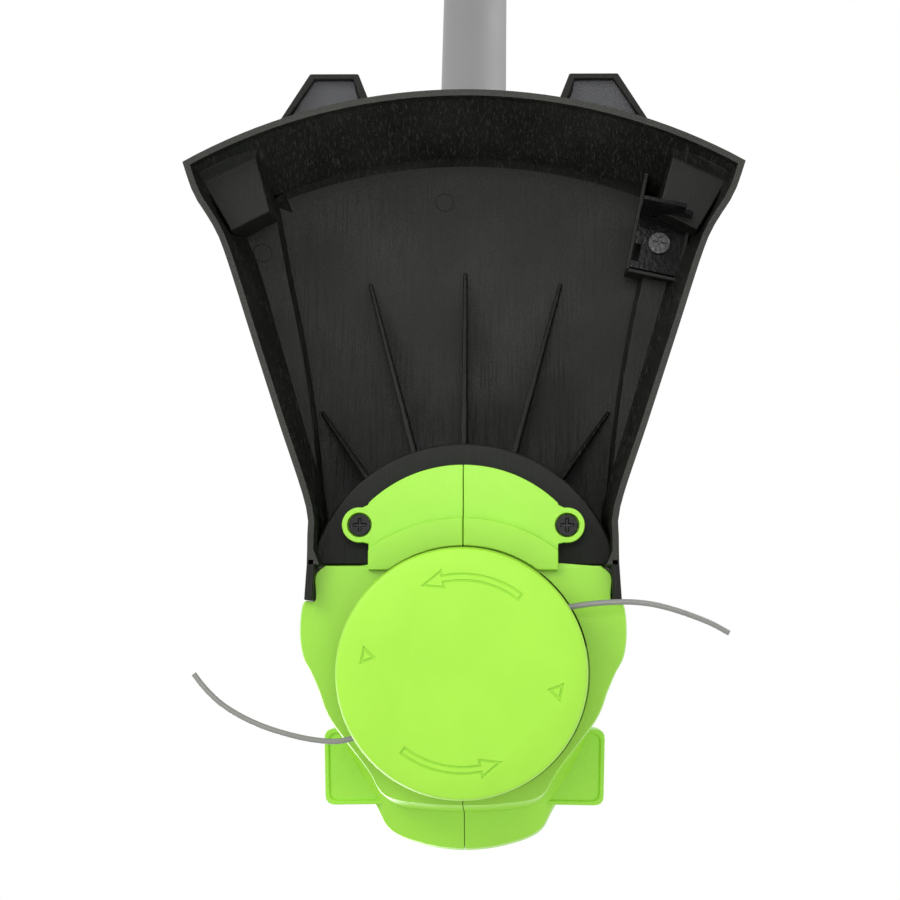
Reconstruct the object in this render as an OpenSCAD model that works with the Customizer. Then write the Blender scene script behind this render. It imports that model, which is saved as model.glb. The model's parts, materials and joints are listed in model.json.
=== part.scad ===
// String trimmer: cutting head, guard, shaft, loop handle, rear handle and battery.
// Origin: on the spool's axis, at the bottom face of the cap. +Z up, +Y towards the
// handle, -Y the way the user faces, so the user's right is -X.

/* [Shaft] */
// Angle of the shaft above the ground in use, degrees
shaft_angle = 40; // [38:1:44]
// Outside diameter of the shaft tubes
tube_d = 28; // [24:0.1:34]
// Wall of the shaft tubes
tube_wall = 1.5; // [1:0.25:3]
// Distance along the shaft from the spindle to the middle of the coupler
lower_len = 640; // [450:5:800]
// Distance along the shaft from the coupler to the loop handle
mid_len = 240; // [160:5:350]
// Distance along the shaft from the loop handle to the nose of the rear handle
upper_len = 250; // [180:5:350]

/* [Spool] */
// Diameter of the spool cap
cap_d = 86.8; // [72:0.2:88]
// Height of the spool cap
cap_h = 11; // [9:0.5:13]
// Height of the spool base above the cap
base_h = 13; // [11:0.5:15]
// Thickness of the cap and spool base walls
spool_wall = 2.4; // [1.6:0.2:3]
// Depth of the arrows and triangles in the cap
mark_depth = 0.5; // [0.3:0.1:1]
// Diameter of the cutting line
line_d = 2; // [1.6:0.1:2.6]
// Diameter of the motor shaft
spindle_d = 8; // [6:0.5:10]

/* [Head] */
// Wall of the green head shells
shell_wall = 3; // [2:0.25:4]
// Thickness of the collar that the guard is screwed to
collar_t = 6.6; // [5:0.2:8]
// Radius of the collar's round edge
collar_r = 48; // [44:0.5:49]
// Diameter of the motor
motor_d = 44; // [36:0.1:48]
// Length of the motor can
motor_len = 44; // [38:1:46]

/* [Guard] */
// Radius of the guard's rim from the spindle
rim_r = 206; // [180:1:250]
// Half of the angle that the rim spans, degrees
rim_half_angle = 28.9; // [26:0.1:32]
// Height of the guard's lower edge
guard_edge_z = 20; // [18:0.5:22]
// Height of the inside of the guard's roof
guard_roof_z = 62; // [58:0.5:63]
// Wall of the guard
guard_wall = 2.6; // [2:0.1:3.5]
// Radius of the cut that the line cutter gives
cut_r = 178; // [160:1:178]

/* [Loop handle] */
// Width of the loop handle between the middles of its sides
loop_w = 124; // [110:1:150]
// Height of the loop handle between the middles of its bars
loop_h = 92; // [80:1:120]
// Diameter of the loop handle's frame
loop_bar_d = 22; // [18:0.5:24]
// Diameter of the soft grip on the loop handle
loop_grip_d = 31; // [28:0.5:34]

/* [Rear handle] */
// Length of the rear handle's grip
grip_len = 130; // [120:1:160]
// Width of the rear handle's grip
grip_w = 38; // [36:0.5:42]
// Wall of the rear handle shells
handle_wall = 3; // [2.5:0.25:3.5]
// Width of the battery bay's body
bay_w = 86; // [84:1:100]
// Travel of the lock-off button
lock_travel = 4; // [2:0.5:5]

/* [Battery] */
// Length of the battery inside its bay
battery_in = 100; // [90:1:110]
// Length of the battery outside its bay
battery_out = 32; // [28:1:40]
// Diameter of one cell
cell_d = 18.4; // [18:0.1:18.6]

/* [Fits] */
// Radial clearance of a running fit
run_fit = 0.05; // [0.02:0.01:0.1]
// Radial clearance of a fixed fit
seat_fit = 0.02; // [0.01:0.01:0.05]
// Gap between faces that slide past each other
slide_gap = 0.4; // [0.3:0.05:0.6]

/* [Hidden] */
$fn = 64;

// Spool and spindle heights
base_z = cap_h;
base_top = cap_h + base_h;
cap_r = cap_d / 2;
base_r = cap_r - 1.9;
spindle_r = spindle_d / 2;
hub_r = spindle_r + 3;
line_z = cap_h + 4;
eyelet_r = 3.2;
eyelet_turn = 147;
reel_z = 8;
reel_top = base_top - spool_wall - 1.2;
reel_r = base_r - spool_wall - 6;
reel_bore = hub_r + run_fit;
nut_h = 4;
shaft_end_z = 3.6;

// Head heights: the face over the spool, the step round it, the ledge and the dome
face_z = base_top + 1;
ring_z = face_z - 2.5;
ring_in = cap_r + 1.1;
ring_out = 54.5;
collar_z = face_z + 1;
collar_mid_y = 25.3;
collar_half_w = 33.4;
ear_at = [36.6, 52];
ear_r = 6.2;
ledge_z = face_z + 29;
wide_z = face_z + 35;
head_top = wide_z + 53;
rear_y = 37.4;

// Outlines of the head, half of each, from the front to the rear
half_low = [
    [0, -46], [27, -42.7], [33.5, -33], [46, -16.6], [50.4, -6], [53, 0], [56, 6],
    [57, 15], [55.8, 24.4], [51.8, 25], [51.8, 34], [48.3, rear_y], [0, rear_y]
];
half_mid = [
    [0, -50], [25, -47], [33, -38], [44, -20], [48, -8], [49.5, 0], [50.3, 6],
    [50.5, 15], [50.5, 22], [50, 25], [50, 34], [46.5, rear_y], [0, rear_y]
];
half_wide = [
    [0, -64], [26.6, -57.6], [32.4, -48.4], [43, -30], [46, -15], [48, -5], [49, 4],
    [49, 13], [49, 20], [49, 25], [48.5, 34], [45, rear_y], [0, rear_y]
];
block_x = 50.5;
block_y = [-48, -20];
block_z = [face_z + 30, face_z + 68];

// Motor stack
plate_z = face_z + 16;
plate_t = 3;
motor_z = plate_z + plate_t;
motor_r = motor_d / 2;
motor_wall = 1.8;
motor_top = motor_z + motor_len;
bell_h = 8;
bearing_r = spindle_r + 3.5;
bearing_h = 4.4;
magnet_t = 2.5;
rotor_r = motor_r - motor_wall - magnet_t - 0.9;
rotor_z = motor_z + 7;
rotor_top = motor_top - 11;
fan_z = face_z + 5.5;
fan_h = 7;
fan_r = 30;
motor_screw_x = motor_r - 7;

// Screws: radius of shank and head, and head height
shank_r = 1.6;
screw_head_r = 3.1;
screw_head_h = 2.2;
boss_r = 5;
shell_head_x = -20;
shell_bosses = [[-46, face_z + 47], [30.5, face_z + 25], [-20, face_z + 77]];

// Shaft positions, measured from the spindle along the shaft's axis
axis_z = face_z + 13;
tube_r = tube_d / 2;
tube_from = 66;
socket_r = tube_r + 5.5;
socket_from = 40;
socket_to = 131;
clamp_boss_s = 118;
clamp_boss_y = tube_r + 4.8;
coupler_s = lower_len;
loop_s = coupler_s + mid_len;
handle_s = loop_s + upper_len;
tube_in_handle = 58;
lead_r = 3.5;
lead_z = motor_top + bell_h + 0.3;
coupler_len = 110;
coupler_knob_r = 11;
coupler_bolt_y = tube_r + coupler_knob_r + 3.5;
coupler_bolt_s = 24;
coupler_button_s = -30;
coupler_ear_half = 12;
strap_t = 6;
strap_eye_r = 4;
strap_eye_y = tube_r + 14;
button_r = 4;
button_flange_t = 2;
button_reach = 11;

// Guard outlines, half of each, from the leg's end to the corner of the rim
guard_top_z = guard_roof_z + guard_wall;
shoulder_z = guard_roof_z - 10;
neck_y = rear_y + 0.5;
neck_half_w = 52.3;
land_z = collar_z + collar_t + 0.4;
land_r = 56;
roof_rim_r = rim_r - 21.4;
roof_half_angle = 22;
shoulder_rim_r = rim_r - 18;
side_low = [
    [55.6, 25.3], [54.6, 46.3], [55.2, 58.6], [84.2, 147.7], [88.8, 158.2], [95.4, 168.7]
];
side_high = [
    [54.9, 25.3], [53.9, 46.3], [53.2, 58.6], [78.5, 146], [81.5, 153], [84, 160]
];
step_line = [[49, neck_y], [51.6, 61.8], [55.2, 95.7], [59.2, 120.6]];
rim_steps = 8;
tab_z = [guard_edge_z + 6, guard_edge_z + 28];
cutter_turn = 12;
cutter_mid = [-70.1 * cut_r / 178, 154.3 * cut_r / 178];
cutter_w = 18.4;
cutter_l = 21;
cutter_gap = 0.25;
cutter_z = 45;
cutter_t = 1.6;
cutter_low_z = 9;

// Routes of the two free line ends, from their eyelets to their tips
left_route = [
    [36, -22], [43, -23.6], [51, -23.2], [60, -21.4], [69, -18.6], [77, -15],
    [84, -10.6], [89.5, -5.4], [93.5, -0.4]
];
right_route = [
    [-35, 22.6], [-42, 23.8], [-50, 24.6], [-58, 24.8], [-66, 24], [-74, 22],
    [-82, 19.2], [-87.5, 16.8], [-92.5, 14]
];

// Loop handle: pivot height over the shaft's axis, bars and clamp
loop_knob_r = 12;
clamp_half_t = tube_r + 5;
pivot_t = clamp_half_t + loop_knob_r + 1;
pivot_r = 9;
loop_low_t = pivot_t + loop_knob_r + loop_bar_d / 2 + 1.5;
loop_corner = 28;
lug_half = 10;
cheek_t = 6;
bolt_r = 3;
clamp_half = 18;
clamp_half_w = tube_r + 12;

// Rear handle, measured from its nose along the shaft
nose_r = tube_r + 9;
nose_len = 70;
grip_from = nose_len;
grip_to = nose_len + grip_len;
grip_top = -22;
grip_low = 20;
bay_from = grip_to;
bay_floor = bay_from + 38;
bay_to = bay_floor + battery_in;
bay_top = -40;
bay_low = 62;
battery_top = -12;
battery_low = bay_low - handle_wall - slide_gap;
battery_half = bay_w / 2 - handle_wall - slide_gap;
trigger_w = 14;
trigger_pivot = [13, 86];
bow_w = 22;
bow_low = 66;
bow_wall = 10;
pin_r = 2.5;
switch_at = [-10, 96];
switch_size = [16, 10.5, 28];
lock_at = 97;
lock_size = [14, 10, 26];
cell_len = 65;
battery_wall = 2.4;

// ---- shapes used by several pieces ----

function flip(half) = concat(half, [
    for (i = [len(half) - 1:-1:0]) if (half[i][0] != 0) [-half[i][0], half[i][1]]
]);
function flat_ring(outline, z) = [for (p = outline) [p[0], p[1], z]];
function grow(outline, by) = [
    for (p = outline) p * (1 + by / norm(p))
];
function arc_pts(r, from, to, steps) = [
    for (i = [0:steps]) let (a = from + (to - from) * i / steps) r * [sin(a), cos(a)]
];

// End faces of a ring of n points: one face, or strips between the two mirrored halves
function end_faces(n, strips) = !strips ? [[for (i = [0:n - 1]) i]] : concat(
    [for (i = [0:(n - 1) / 2 - 2]) [i, i + 1, n - 2 - i, n - 1 - i]],
    [[(n - 1) / 2 - 1, (n - 1) / 2, (n - 1) / 2 + 1]]
);
function turned(face) = [for (i = [len(face) - 1:-1:0]) face[i]];

// A closed skin over rings that all have the same number of points, anticlockwise
module skin(rings, strips = false) {
    n = len(rings[0]);
    last = len(rings) - 1;
    ends = end_faces(n, strips);
    polyhedron(
        points = [for (ring = rings) for (p = ring) p],
        faces = concat(
            ends,
            [for (face = ends) turned([for (i = face) last * n + i])],
            [for (k = [0:last - 1]) for (i = [0:n - 1])
                [k * n + i, (k + 1) * n + i, (k + 1) * n + (i + 1) % n]],
            [for (k = [0:last - 1]) for (i = [0:n - 1])
                [k * n + i, (k + 1) * n + (i + 1) % n, k * n + (i + 1) % n]]
        ),
        convexity = 6
    );
}

function unit(v) = v / norm(v);
function heading(path, i) = unit(
    path[min(i + 1, len(path) - 1)] - path[max(i - 1, 0)]
);
function tube_ring(at, along, r, sides, up) =
    let (side = unit(cross(up, along)), over = cross(along, side))
    [for (k = [0:sides - 1]) let (a = 360 * k / sides)
        at + r * (cos(a) * side + sin(a) * over)];

// A round tube along a path, up is any direction that the path never takes
module swept(path, r, sides = 8, up = [0, 0, 1]) {
    skin([for (i = [0:len(path) - 1]) tube_ring(path[i], heading(path, i), r, sides, up)]);
}

function coil_path(r, pitch, turns, steps = 14) = [
    for (i = [0:turns * steps])
        [r * cos(360 * i / steps), r * sin(360 * i / steps), pitch * i / steps]
];

module ring_solid(r_out, r_in, h) {
    difference() {
        cylinder(r = r_out, h = h);
        translate([0, 0, -1]) cylinder(r = r_in, h = h + 2);
    }
}

module rounded_rect(w, l, r) {
    hull() for (x = [-1, 1], y = [-1, 1])
        translate([x * (w / 2 - r), y * (l / 2 - r)]) circle(r, $fn = 32);
}

// A pan-head screw pointing along +Z, with its head below z = 0 and a cross recess
module screw(len, r = shank_r, head_r = screw_head_r, head_h = screw_head_h) {
    difference() {
        union() {
            cylinder(r = r, h = len);
            translate([0, 0, -head_h]) cylinder(r = head_r, h = head_h);
        }
        for (a = [0, 90]) rotate([0, 0, a])
            translate([-head_r * 0.62, -head_r * 0.14, -head_h - 1])
                cube([head_r * 1.24, head_r * 0.28, 1 + head_h * 0.6]);
    }
}

// Local frame of the shaft: +Z up the shaft, +Y its underside
module along_shaft(s = 0) {
    translate([0, 0, axis_z]) rotate([shaft_angle - 90, 0, 0]) translate([0, 0, s])
        children();
}

module at_rear(h = 0) { along_shaft(handle_s + h) children(); }

// A plate of a side profile given as [underside, along], centred on the shaft's plane
module side_profile(w) {
    rotate([90, 0, 90]) linear_extrude(w, center = true) children();
}

// ---- cutting head ----

// The half outline, closed along x = -over
function half_ring(half, over, z) = [
    for (p = half) [p[0] == 0 ? -over : p[0], p[1], z]
];

module head_outside() {
    skin([
        half_ring(half_low, 0, face_z),
        half_ring(half_mid, 0, ledge_z),
        half_ring(half_wide, 0, wide_z),
        half_ring(grow(half_wide, -2), 0, head_top - 20),
        half_ring(grow(half_wide, -9), 0, head_top - 6),
        half_ring(grow(half_wide, -18), 0, head_top)
    ]);
    translate([0, 0, block_z[0]]) linear_extrude(block_z[1] - block_z[0]) intersection() {
        translate([0, (block_y[0] + block_y[1]) / 2])
            rounded_rect(2 * block_x, block_y[1] - block_y[0], 4);
        translate([0, block_y[0]]) square([block_x, block_y[1] - block_y[0]]);
    }
    head_collar();
    head_ring();
    head_socket();
}

module head_collar() {
    translate([0, 0, collar_z]) linear_extrude(collar_t) {
        intersection() {
            translate([0, collar_mid_y]) circle(collar_r, $fn = 128);
            translate([0, rear_y - 3]) square([collar_half_w, 60]);
        }
        hull() {
            translate(ear_at) circle(ear_r);
            translate([collar_half_w - 3, ear_at[1]]) square([2, 2 * ear_r], center = true);
        }
    }
}

module head_ring() {
    translate([0, 0, ring_z]) linear_extrude(face_z - ring_z + 1) intersection() {
        polygon([for (p = half_low) p]);
        circle(ring_out, $fn = 128);
    }
    translate([0, 0, ring_z]) linear_extrude(collar_z - ring_z + 1) intersection() {
        translate([0, rear_y - 1]) square([collar_half_w, 30]);
        circle(ring_out, $fn = 128);
    }
}

module head_socket() {
    intersection() {
        along_shaft() {
            translate([0, 0, socket_from])
                cylinder(r = socket_r, h = socket_to - socket_from);
            for (y = [-1, 1]) translate([0, y * clamp_boss_y, clamp_boss_s])
                rotate([0, 90, 0]) cylinder(r = boss_r + 1, h = 12);
        }
        union() {
            translate([0, -60, face_z + 5]) cube([60, 60 + rear_y, 200]);
            translate([0, rear_y - 1, guard_top_z + 1]) cube([60, 200, 200]);
        }
    }
}

module head_inside() {
    w = shell_wall;
    over = 2;
    difference() {
        skin([
            half_ring(grow(half_low, -w), over, face_z + w),
            half_ring(grow(half_mid, -w), over, ledge_z),
            half_ring(grow(half_wide, -w), over, wide_z + 1),
            half_ring(grow(half_wide, -w - 2), over, head_top - 21),
            half_ring(grow(half_wide, -w - 9), over, head_top - 6 - w)
        ]);
        for (z = [plate_z, motor_z + 8, motor_top - 6])
            translate([-70, -80, z]) cube([140, 160, plate_t]);
        for (b = shell_bosses) translate([0, b[0], b[1]]) rotate([0, 90, 0])
            cylinder(r = boss_r, h = 140, center = true);
        along_shaft(socket_from + 8) cylinder(r = socket_r, h = 60);
    }
}

module shell_screw_holes() {
    for (b = shell_bosses) translate([0, b[0], b[1]]) rotate([0, 90, 0]) {
        cylinder(r = shank_r + seat_fit, h = 40, center = true);
        translate([0, 0, shell_head_x - 60]) cylinder(r = screw_head_r + 0.4, h = 60);
    }
    along_shaft(clamp_boss_s) for (y = [-1, 1]) translate([0, y * clamp_boss_y, 0])
        rotate([0, 90, 0]) {
            cylinder(r = shank_r + seat_fit, h = 18, center = true);
            translate([0, 0, -21]) cylinder(r = screw_head_r + 0.4, h = 13);
        }
}

// One half of the head, made on the +X side and mirrored for the other
module head_body(turned) {
    difference() {
        mirror([turned ? 1 : 0, 0, 0]) difference() {
            head_outside();
            head_inside();
        }
        translate([0, 0, motor_z]) cylinder(r = motor_r + 0.1, h = motor_len + bell_h + 1);
        translate([0, 0, plate_z - 1]) cylinder(r = bearing_r + 2.6, h = plate_t + 2);
        translate([0, 0, ring_z - 1]) cylinder(r = spindle_r + 4, h = 8);
        translate([0, 0, ring_z - 1]) cylinder(r = ring_in, h = face_z - ring_z + 1);
        along_shaft(tube_from) cylinder(r = tube_r + seat_fit, h = 200);
        along_shaft(socket_from + 2) cylinder(r = lead_r + 3, h = 40);
        translate([-lead_r - 1.1, 20, lead_z - 22]) cube([2 * lead_r + 2.2, 30, 17]);
        for (x = [-1, 1]) {
            translate([x * ear_at[0], ear_at[1], collar_z - 1]) {
                cylinder(r = shank_r + 0.3, h = collar_t + 2);
                cylinder(r = 4.2, h = 1 + screw_head_h + 1);
            }
            translate([x * motor_screw_x, 0, plate_z - 1])
                cylinder(r = shank_r + 0.1, h = plate_t + 2);
        }
        shell_screw_holes();
        for (i = [0:5]) translate([-70, -12 + 6 * i, wide_z + 4]) cube([140, 2.4, 14]);
    }
}

module head_shell_left() {
    color("yellowgreen") head_body(false);
}

module head_shell_right() {
    color("yellowgreen") head_body(true);
}

module shell_screws() {
    color("dimgray") {
        for (b = shell_bosses) translate([shell_head_x, b[0], b[1]]) rotate([0, 90, 0])
            screw(34);
        along_shaft(clamp_boss_s) for (y = [-1, 1])
            translate([-8, y * clamp_boss_y, 0]) rotate([0, 90, 0]) screw(16);
    }
}

// ---- guard and line cutter ----

function guard_outline(side, r, half_angle) = flip(concat(
    side, arc_pts(r, half_angle, 0, rim_steps)
));

module guard_cover(by) {
    low_angle = rim_half_angle - by / 4;
    high_angle = 26.8 * rim_half_angle / 28.9 - by / 4;
    low_side = [for (p = side_low) [p[0] - by, p[1] < 30 ? p[1] - 4 * by : p[1]]];
    high_side = [for (p = side_high) [p[0] - by, p[1] < 30 ? p[1] - 4 * by : p[1]]];
    skin([
        flat_ring(guard_outline(low_side, rim_r - by, low_angle), guard_edge_z - by),
        flat_ring(
            guard_outline(high_side, shoulder_rim_r - by, high_angle),
            shoulder_z + guard_wall - by
        )
    ], strips = true);
}

module guard_middle(by) {
    side = [for (p = step_line) [p[0] - by, p[1]]];
    translate([0, 0, shoulder_z - 1 - by]) linear_extrude(guard_top_z - shoulder_z + 1)
        polygon(flip(concat(
            [[0, neck_y]], side,
            arc_pts(roof_rim_r - by, roof_half_angle - by / 4, 0, rim_steps)
        )));
}

module guard_neck() {
    intersection() {
        union() {
            translate([0, collar_mid_y, land_z]) {
                ring_solid(land_r, land_r - guard_wall, guard_top_z - land_z - 1);
                cylinder(r = land_r - 1, h = guard_wall);
            }
            translate([-60, neck_y, land_z]) cube([120, guard_wall, guard_top_z - land_z]);
            for (x = [-1, 1]) translate([x * ear_at[0], ear_at[1], land_z])
                cylinder(r = 4.6, h = 18);
        }
        translate([-54, neck_y, 0]) cube([108, 80, 100]);
    }
}

module guard_rib(from, to, low_from) {
    run = to - from;
    translate([from[0], from[1], 0]) rotate([0, 0, atan2(run[1], run[0])])
        rotate([90, 0, 0]) linear_extrude(1.8, center = true) polygon([
            [0, low_from], [norm(run), guard_roof_z - 1.5],
            [norm(run), guard_roof_z + 1], [0, guard_roof_z + 1]
        ]);
}

module guard_tabs() {
    for (x = [0, 1]) mirror([x, 0, 0]) difference() {
        translate([0, 0, tab_z[0]]) linear_extrude(tab_z[1] - tab_z[0]) polygon([
            [35, rim_r - 18], [35, rim_r - 3], [40, rim_r + 11], [57, rim_r + 11],
            [64.7, rim_r - 16], [62, rim_r - 26]
        ]);
        difference() {
            translate([0, 0, tab_z[0] - 1]) linear_extrude(tab_z[1] - tab_z[0] - 1) polygon([
                [38, rim_r - 10], [42.4, rim_r + 8.4], [54.8, rim_r + 8.4], [61, rim_r - 14]
            ]);
            guard_cover(0);
        }
        guard_cover(guard_wall);
    }
}

module at_cutter(z) {
    translate([cutter_mid[0], cutter_mid[1], z]) rotate([0, 0, cutter_turn]) children();
}

module guard() {
    color([0.16, 0.16, 0.15]) difference() {
        union() {
            difference() {
                union() { guard_cover(0); guard_middle(0); }
                guard_cover(guard_wall);
                guard_middle(guard_wall);
                translate([-neck_half_w, -10, 0]) cube([2 * neck_half_w, 10 + neck_y, 100]);
            }
            guard_neck();
            guard_rib([0, 79], [0, 145], land_z + 1);
            for (x = [-1, 1]) {
                guard_rib([x * 17.5, 77], [x * 34.7, 141], land_z + 1);
                guard_rib([x * 34, 69], [x * 52, 94], land_z + 1);
            }
            guard_tabs();
            at_cutter(cutter_z + cutter_t)
                translate([-cutter_w / 2, -cutter_l / 2, 0])
                    cube([cutter_w, cutter_l, shoulder_z - cutter_z]);
        }
        for (x = [-1, 1]) translate([x * ear_at[0], ear_at[1], land_z - 1])
            cylinder(r = shank_r + seat_fit, h = 18);
        at_cutter(cutter_z) cylinder(r = shank_r + seat_fit, h = shoulder_z - cutter_z);
        at_cutter(cutter_low_z)
            translate([-cutter_w / 2 - cutter_gap, -cutter_l / 2 - cutter_gap, 0]) cube([
                cutter_w + 2 * cutter_gap, cutter_l + 2 * cutter_gap,
                cutter_z + cutter_t - cutter_low_z
            ]);
    }
}

module guard_screws() {
    color([0.1, 0.1, 0.1]) for (x = [-1, 1])
        translate([x * ear_at[0], ear_at[1], collar_z + screw_head_h + 1])
            screw(16, head_r = 3.8);
}

module line_cutter() {
    color("dimgray") at_cutter(cutter_z) difference() {
        union() {
            translate([-cutter_w / 2, -cutter_l / 2, 0]) cube([cutter_w, cutter_l, cutter_t]);
            translate([-cutter_w / 2, cutter_l / 2 - cutter_t, cutter_low_z - cutter_z])
                cube([cutter_w, cutter_t, cutter_z - cutter_low_z + cutter_t]);
        }
        translate([0, 0, -1]) cylinder(r = shank_r + 0.3, h = 4);
        translate([cutter_w / 2 - 3, -cutter_l / 2 + 3, -1]) cube([4, 6, 4]);
        translate([-cutter_w / 2 - 1, cutter_l / 2 - 3, cutter_low_z - cutter_z - 1])
            cube([4, 4, 14]);
    }
}

module cutter_screw() {
    color([0.1, 0.1, 0.1]) at_cutter(cutter_z) screw(shoulder_z - cutter_z - 1, head_r = 3.8);
}

// ---- motor ----

module motor_can() {
    color("silver") difference() {
        union() {
            translate([0, 0, motor_z]) cylinder(r = motor_r, h = motor_len);
            translate([0, 0, plate_z + 0.4]) cylinder(r = bearing_r + 2.2, h = plate_t);
        }
        translate([0, 0, motor_z + 2.5]) cylinder(r = motor_r - motor_wall, h = motor_len);
        translate([0, 0, plate_z - 1]) cylinder(r = bearing_r + seat_fit, h = 12);
        for (x = [-1, 1]) translate([x * motor_screw_x, 0, motor_z - 1])
            cylinder(r = shank_r + seat_fit, h = 6);
    }
}

module motor_end_bell() {
    color([0.2, 0.2, 0.2]) translate([0, 0, motor_top]) difference() {
        cylinder(r = motor_r, h = bell_h);
        translate([0, 0, -1]) cylinder(r = motor_r - motor_wall, h = 2.5);
        translate([0, 0, -1]) cylinder(r = bearing_r + seat_fit, h = bell_h);
    }
}

module field_magnets() {
    r_out = motor_r - motor_wall - seat_fit;
    color([0.3, 0.3, 0.32]) for (a = [0, 180]) rotate([0, 0, a + 20])
        rotate_extrude(angle = 140)
            translate([r_out - magnet_t, rotor_z - 2]) square([magnet_t, rotor_top - rotor_z + 4]);
}

module carbon_brushes() {
    color([0.15, 0.15, 0.15]) for (a = [0, 180]) rotate([0, 0, a])
        translate([spindle_r + 3.4, -2.5, motor_top - 6.5])
            cube([motor_r - motor_wall - spindle_r - 3.5, 5, 5]);
}

module motor_bearings() {
    color("lightgray") for (z = [plate_z + 0.6, motor_top + bell_h - 1.2 - bearing_h])
        translate([0, 0, z]) ring_solid(bearing_r, spindle_r + run_fit, bearing_h);
}

module motor_screws() {
    color("gray") for (x = [-1, 1]) translate([x * motor_screw_x, 0, plate_z])
        screw(plate_t + 2.4);
}

module motor_shaft() {
    color("silver") translate([0, 0, shaft_end_z])
        cylinder(r = spindle_r, h = motor_top + bell_h - 1.4 - shaft_end_z);
}

module rotor() {
    color("sienna") translate([0, 0, rotor_z]) difference() {
        cylinder(r = rotor_r, h = rotor_top - rotor_z);
        translate([0, 0, -1]) cylinder(r = spindle_r + seat_fit, h = 100);
        for (i = [0:11]) rotate([0, 0, 30 * i]) translate([rotor_r - 5, -0.9, -1])
            cube([8, 1.8, 100]);
    }
}

module commutator() {
    color("peru") translate([0, 0, rotor_top + 2.5]) difference() {
        cylinder(r = spindle_r + 3, h = 7);
        translate([0, 0, -1]) cylinder(r = spindle_r + seat_fit, h = 20);
        for (i = [0:11]) rotate([0, 0, 30 * i]) translate([spindle_r + 2.2, -0.3, 1])
            cube([3, 0.6, 20]);
    }
}

module cooling_fan() {
    color([0.12, 0.12, 0.12]) translate([0, 0, fan_z]) difference() {
        union() {
            cylinder(r = hub_r + 2, h = fan_h);
            translate([0, 0, fan_h - 1.6]) cylinder(r = fan_r, h = 1.6);
            for (i = [0:8]) rotate([0, 0, 40 * i]) translate([hub_r, -1, 0])
                cube([fan_r - hub_r - 0.5, 2, fan_h - 1]);
        }
        translate([0, 0, -1]) cylinder(r = spindle_r + seat_fit, h = 20);
    }
}

// ---- spool ----

module spool_base() {
    color([0.13, 0.13, 0.12]) difference() {
        union() {
            translate([0, 0, base_z]) cylinder(r = base_r, h = base_h, $fn = 128);
            translate([0, 0, reel_z]) cylinder(r = hub_r, h = base_top - reel_z);
        }
        difference() {
            translate([0, 0, base_z - 1])
                cylinder(r = base_r - spool_wall, h = base_h - spool_wall + 1, $fn = 128);
            cylinder(r = hub_r, h = base_top);
        }
        cylinder(r = spindle_r + seat_fit, h = 60);
        for (a = [0, 180]) rotate([0, 0, a + eyelet_turn]) translate([base_r - 9, 0, line_z])
            rotate([0, 90, 0]) cylinder(r = eyelet_r + seat_fit, h = 14);
    }
}

module arrow_mark() {
    r = 33;
    half_shaft = 1.45;
    half_head = 3.4;
    polygon(concat(
        [for (a = [52:7:101]) (r + half_shaft) * [cos(a), sin(a)]],
        [(r + half_head) * [cos(101), sin(101)], r * [cos(115), sin(115)],
            (r - half_head) * [cos(101), sin(101)]],
        [for (a = [101:-7:52]) (r - half_shaft) * [cos(a), sin(a)]]
    ));
}

module cap_marks() {
    for (a = [0, 180]) rotate([0, 0, a]) {
        difference() {
            arrow_mark();
            offset(delta = -0.7) arrow_mark();
        }
        difference() {
            polygon([[-35, 3.2], [-29.4, 5.3], [-33.7, 9.4]]);
            offset(delta = -0.8) polygon([[-35, 3.2], [-29.4, 5.3], [-33.7, 9.4]]);
        }
    }
}

module spool_cap() {
    color("greenyellow") difference() {
        rotate_extrude($fn = 128) polygon([
            [0, 0], [cap_r - 2, 0], [cap_r - 0.7, 0.6], [cap_r, 2], [cap_r, cap_h],
            [cap_r - spool_wall, cap_h], [cap_r - spool_wall, spool_wall], [0, spool_wall]
        ]);
        translate([0, 0, -1]) linear_extrude(1 + mark_depth) mirror([1, 0]) cap_marks();
    }
}

module line_eyelets() {
    color("silver") for (a = [0, 180]) rotate([0, 0, a + eyelet_turn])
        translate([base_r - spool_wall - 0.6, 0, line_z]) rotate([0, 90, 0])
            ring_solid(eyelet_r, line_d / 2 + 0.5, spool_wall + 1.1);
}

module retaining_nut() {
    color("silver") translate([0, 0, shaft_end_z + 0.4]) difference() {
        cylinder(r = hub_r + 0.6, h = nut_h - 0.2, $fn = 6);
        translate([0, 0, -1]) cylinder(r = spindle_r + seat_fit, h = 10);
    }
}

module reel_spring() {
    wire = 0.6;
    color("silver") translate([0, 0, spool_wall + wire + 0.05])
        swept(coil_path(hub_r + 3, (reel_z - spool_wall - 2 * wire - 0.4) / 2, 2), wire, 6);
}

module line_reel() {
    color([0.2, 0.2, 0.2]) difference() {
        union() {
            translate([0, 0, reel_z]) cylinder(r = hub_r + 7, h = reel_top - reel_z);
            for (z = [reel_z, reel_top - 1.5]) translate([0, 0, z]) cylinder(r = reel_r, h = 1.5);
        }
        translate([0, 0, reel_z - 1]) cylinder(r = reel_bore, h = 60);
    }
}

module wound_line() {
    turns_r = line_d / 2;
    rows = floor((reel_top - reel_z - 3.2) / line_d);
    layers = floor((reel_r - hub_r - 7 - 4) / line_d);
    color("lightgray") translate([0, 0, reel_z + 1.6])
        for (row = [0:rows - 1])
            translate([0, 0, row * line_d + turns_r]) rotate_extrude($fn = 96)
                translate([hub_r + 7.2 + layers * line_d - turns_r, 0]) circle(turns_r);
}

module line_end_left() {
    color("silver") swept([for (p = left_route) [p[0], p[1], line_z]], line_d / 2);
}

module line_end_right() {
    color("silver") swept([for (p = right_route) [p[0], p[1], line_z]], line_d / 2);
}

// ---- shaft, coupler and strap bracket ----

module tube(from, to) {
    along_shaft(from) ring_solid(tube_r, tube_r - tube_wall, to - from);
}

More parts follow.
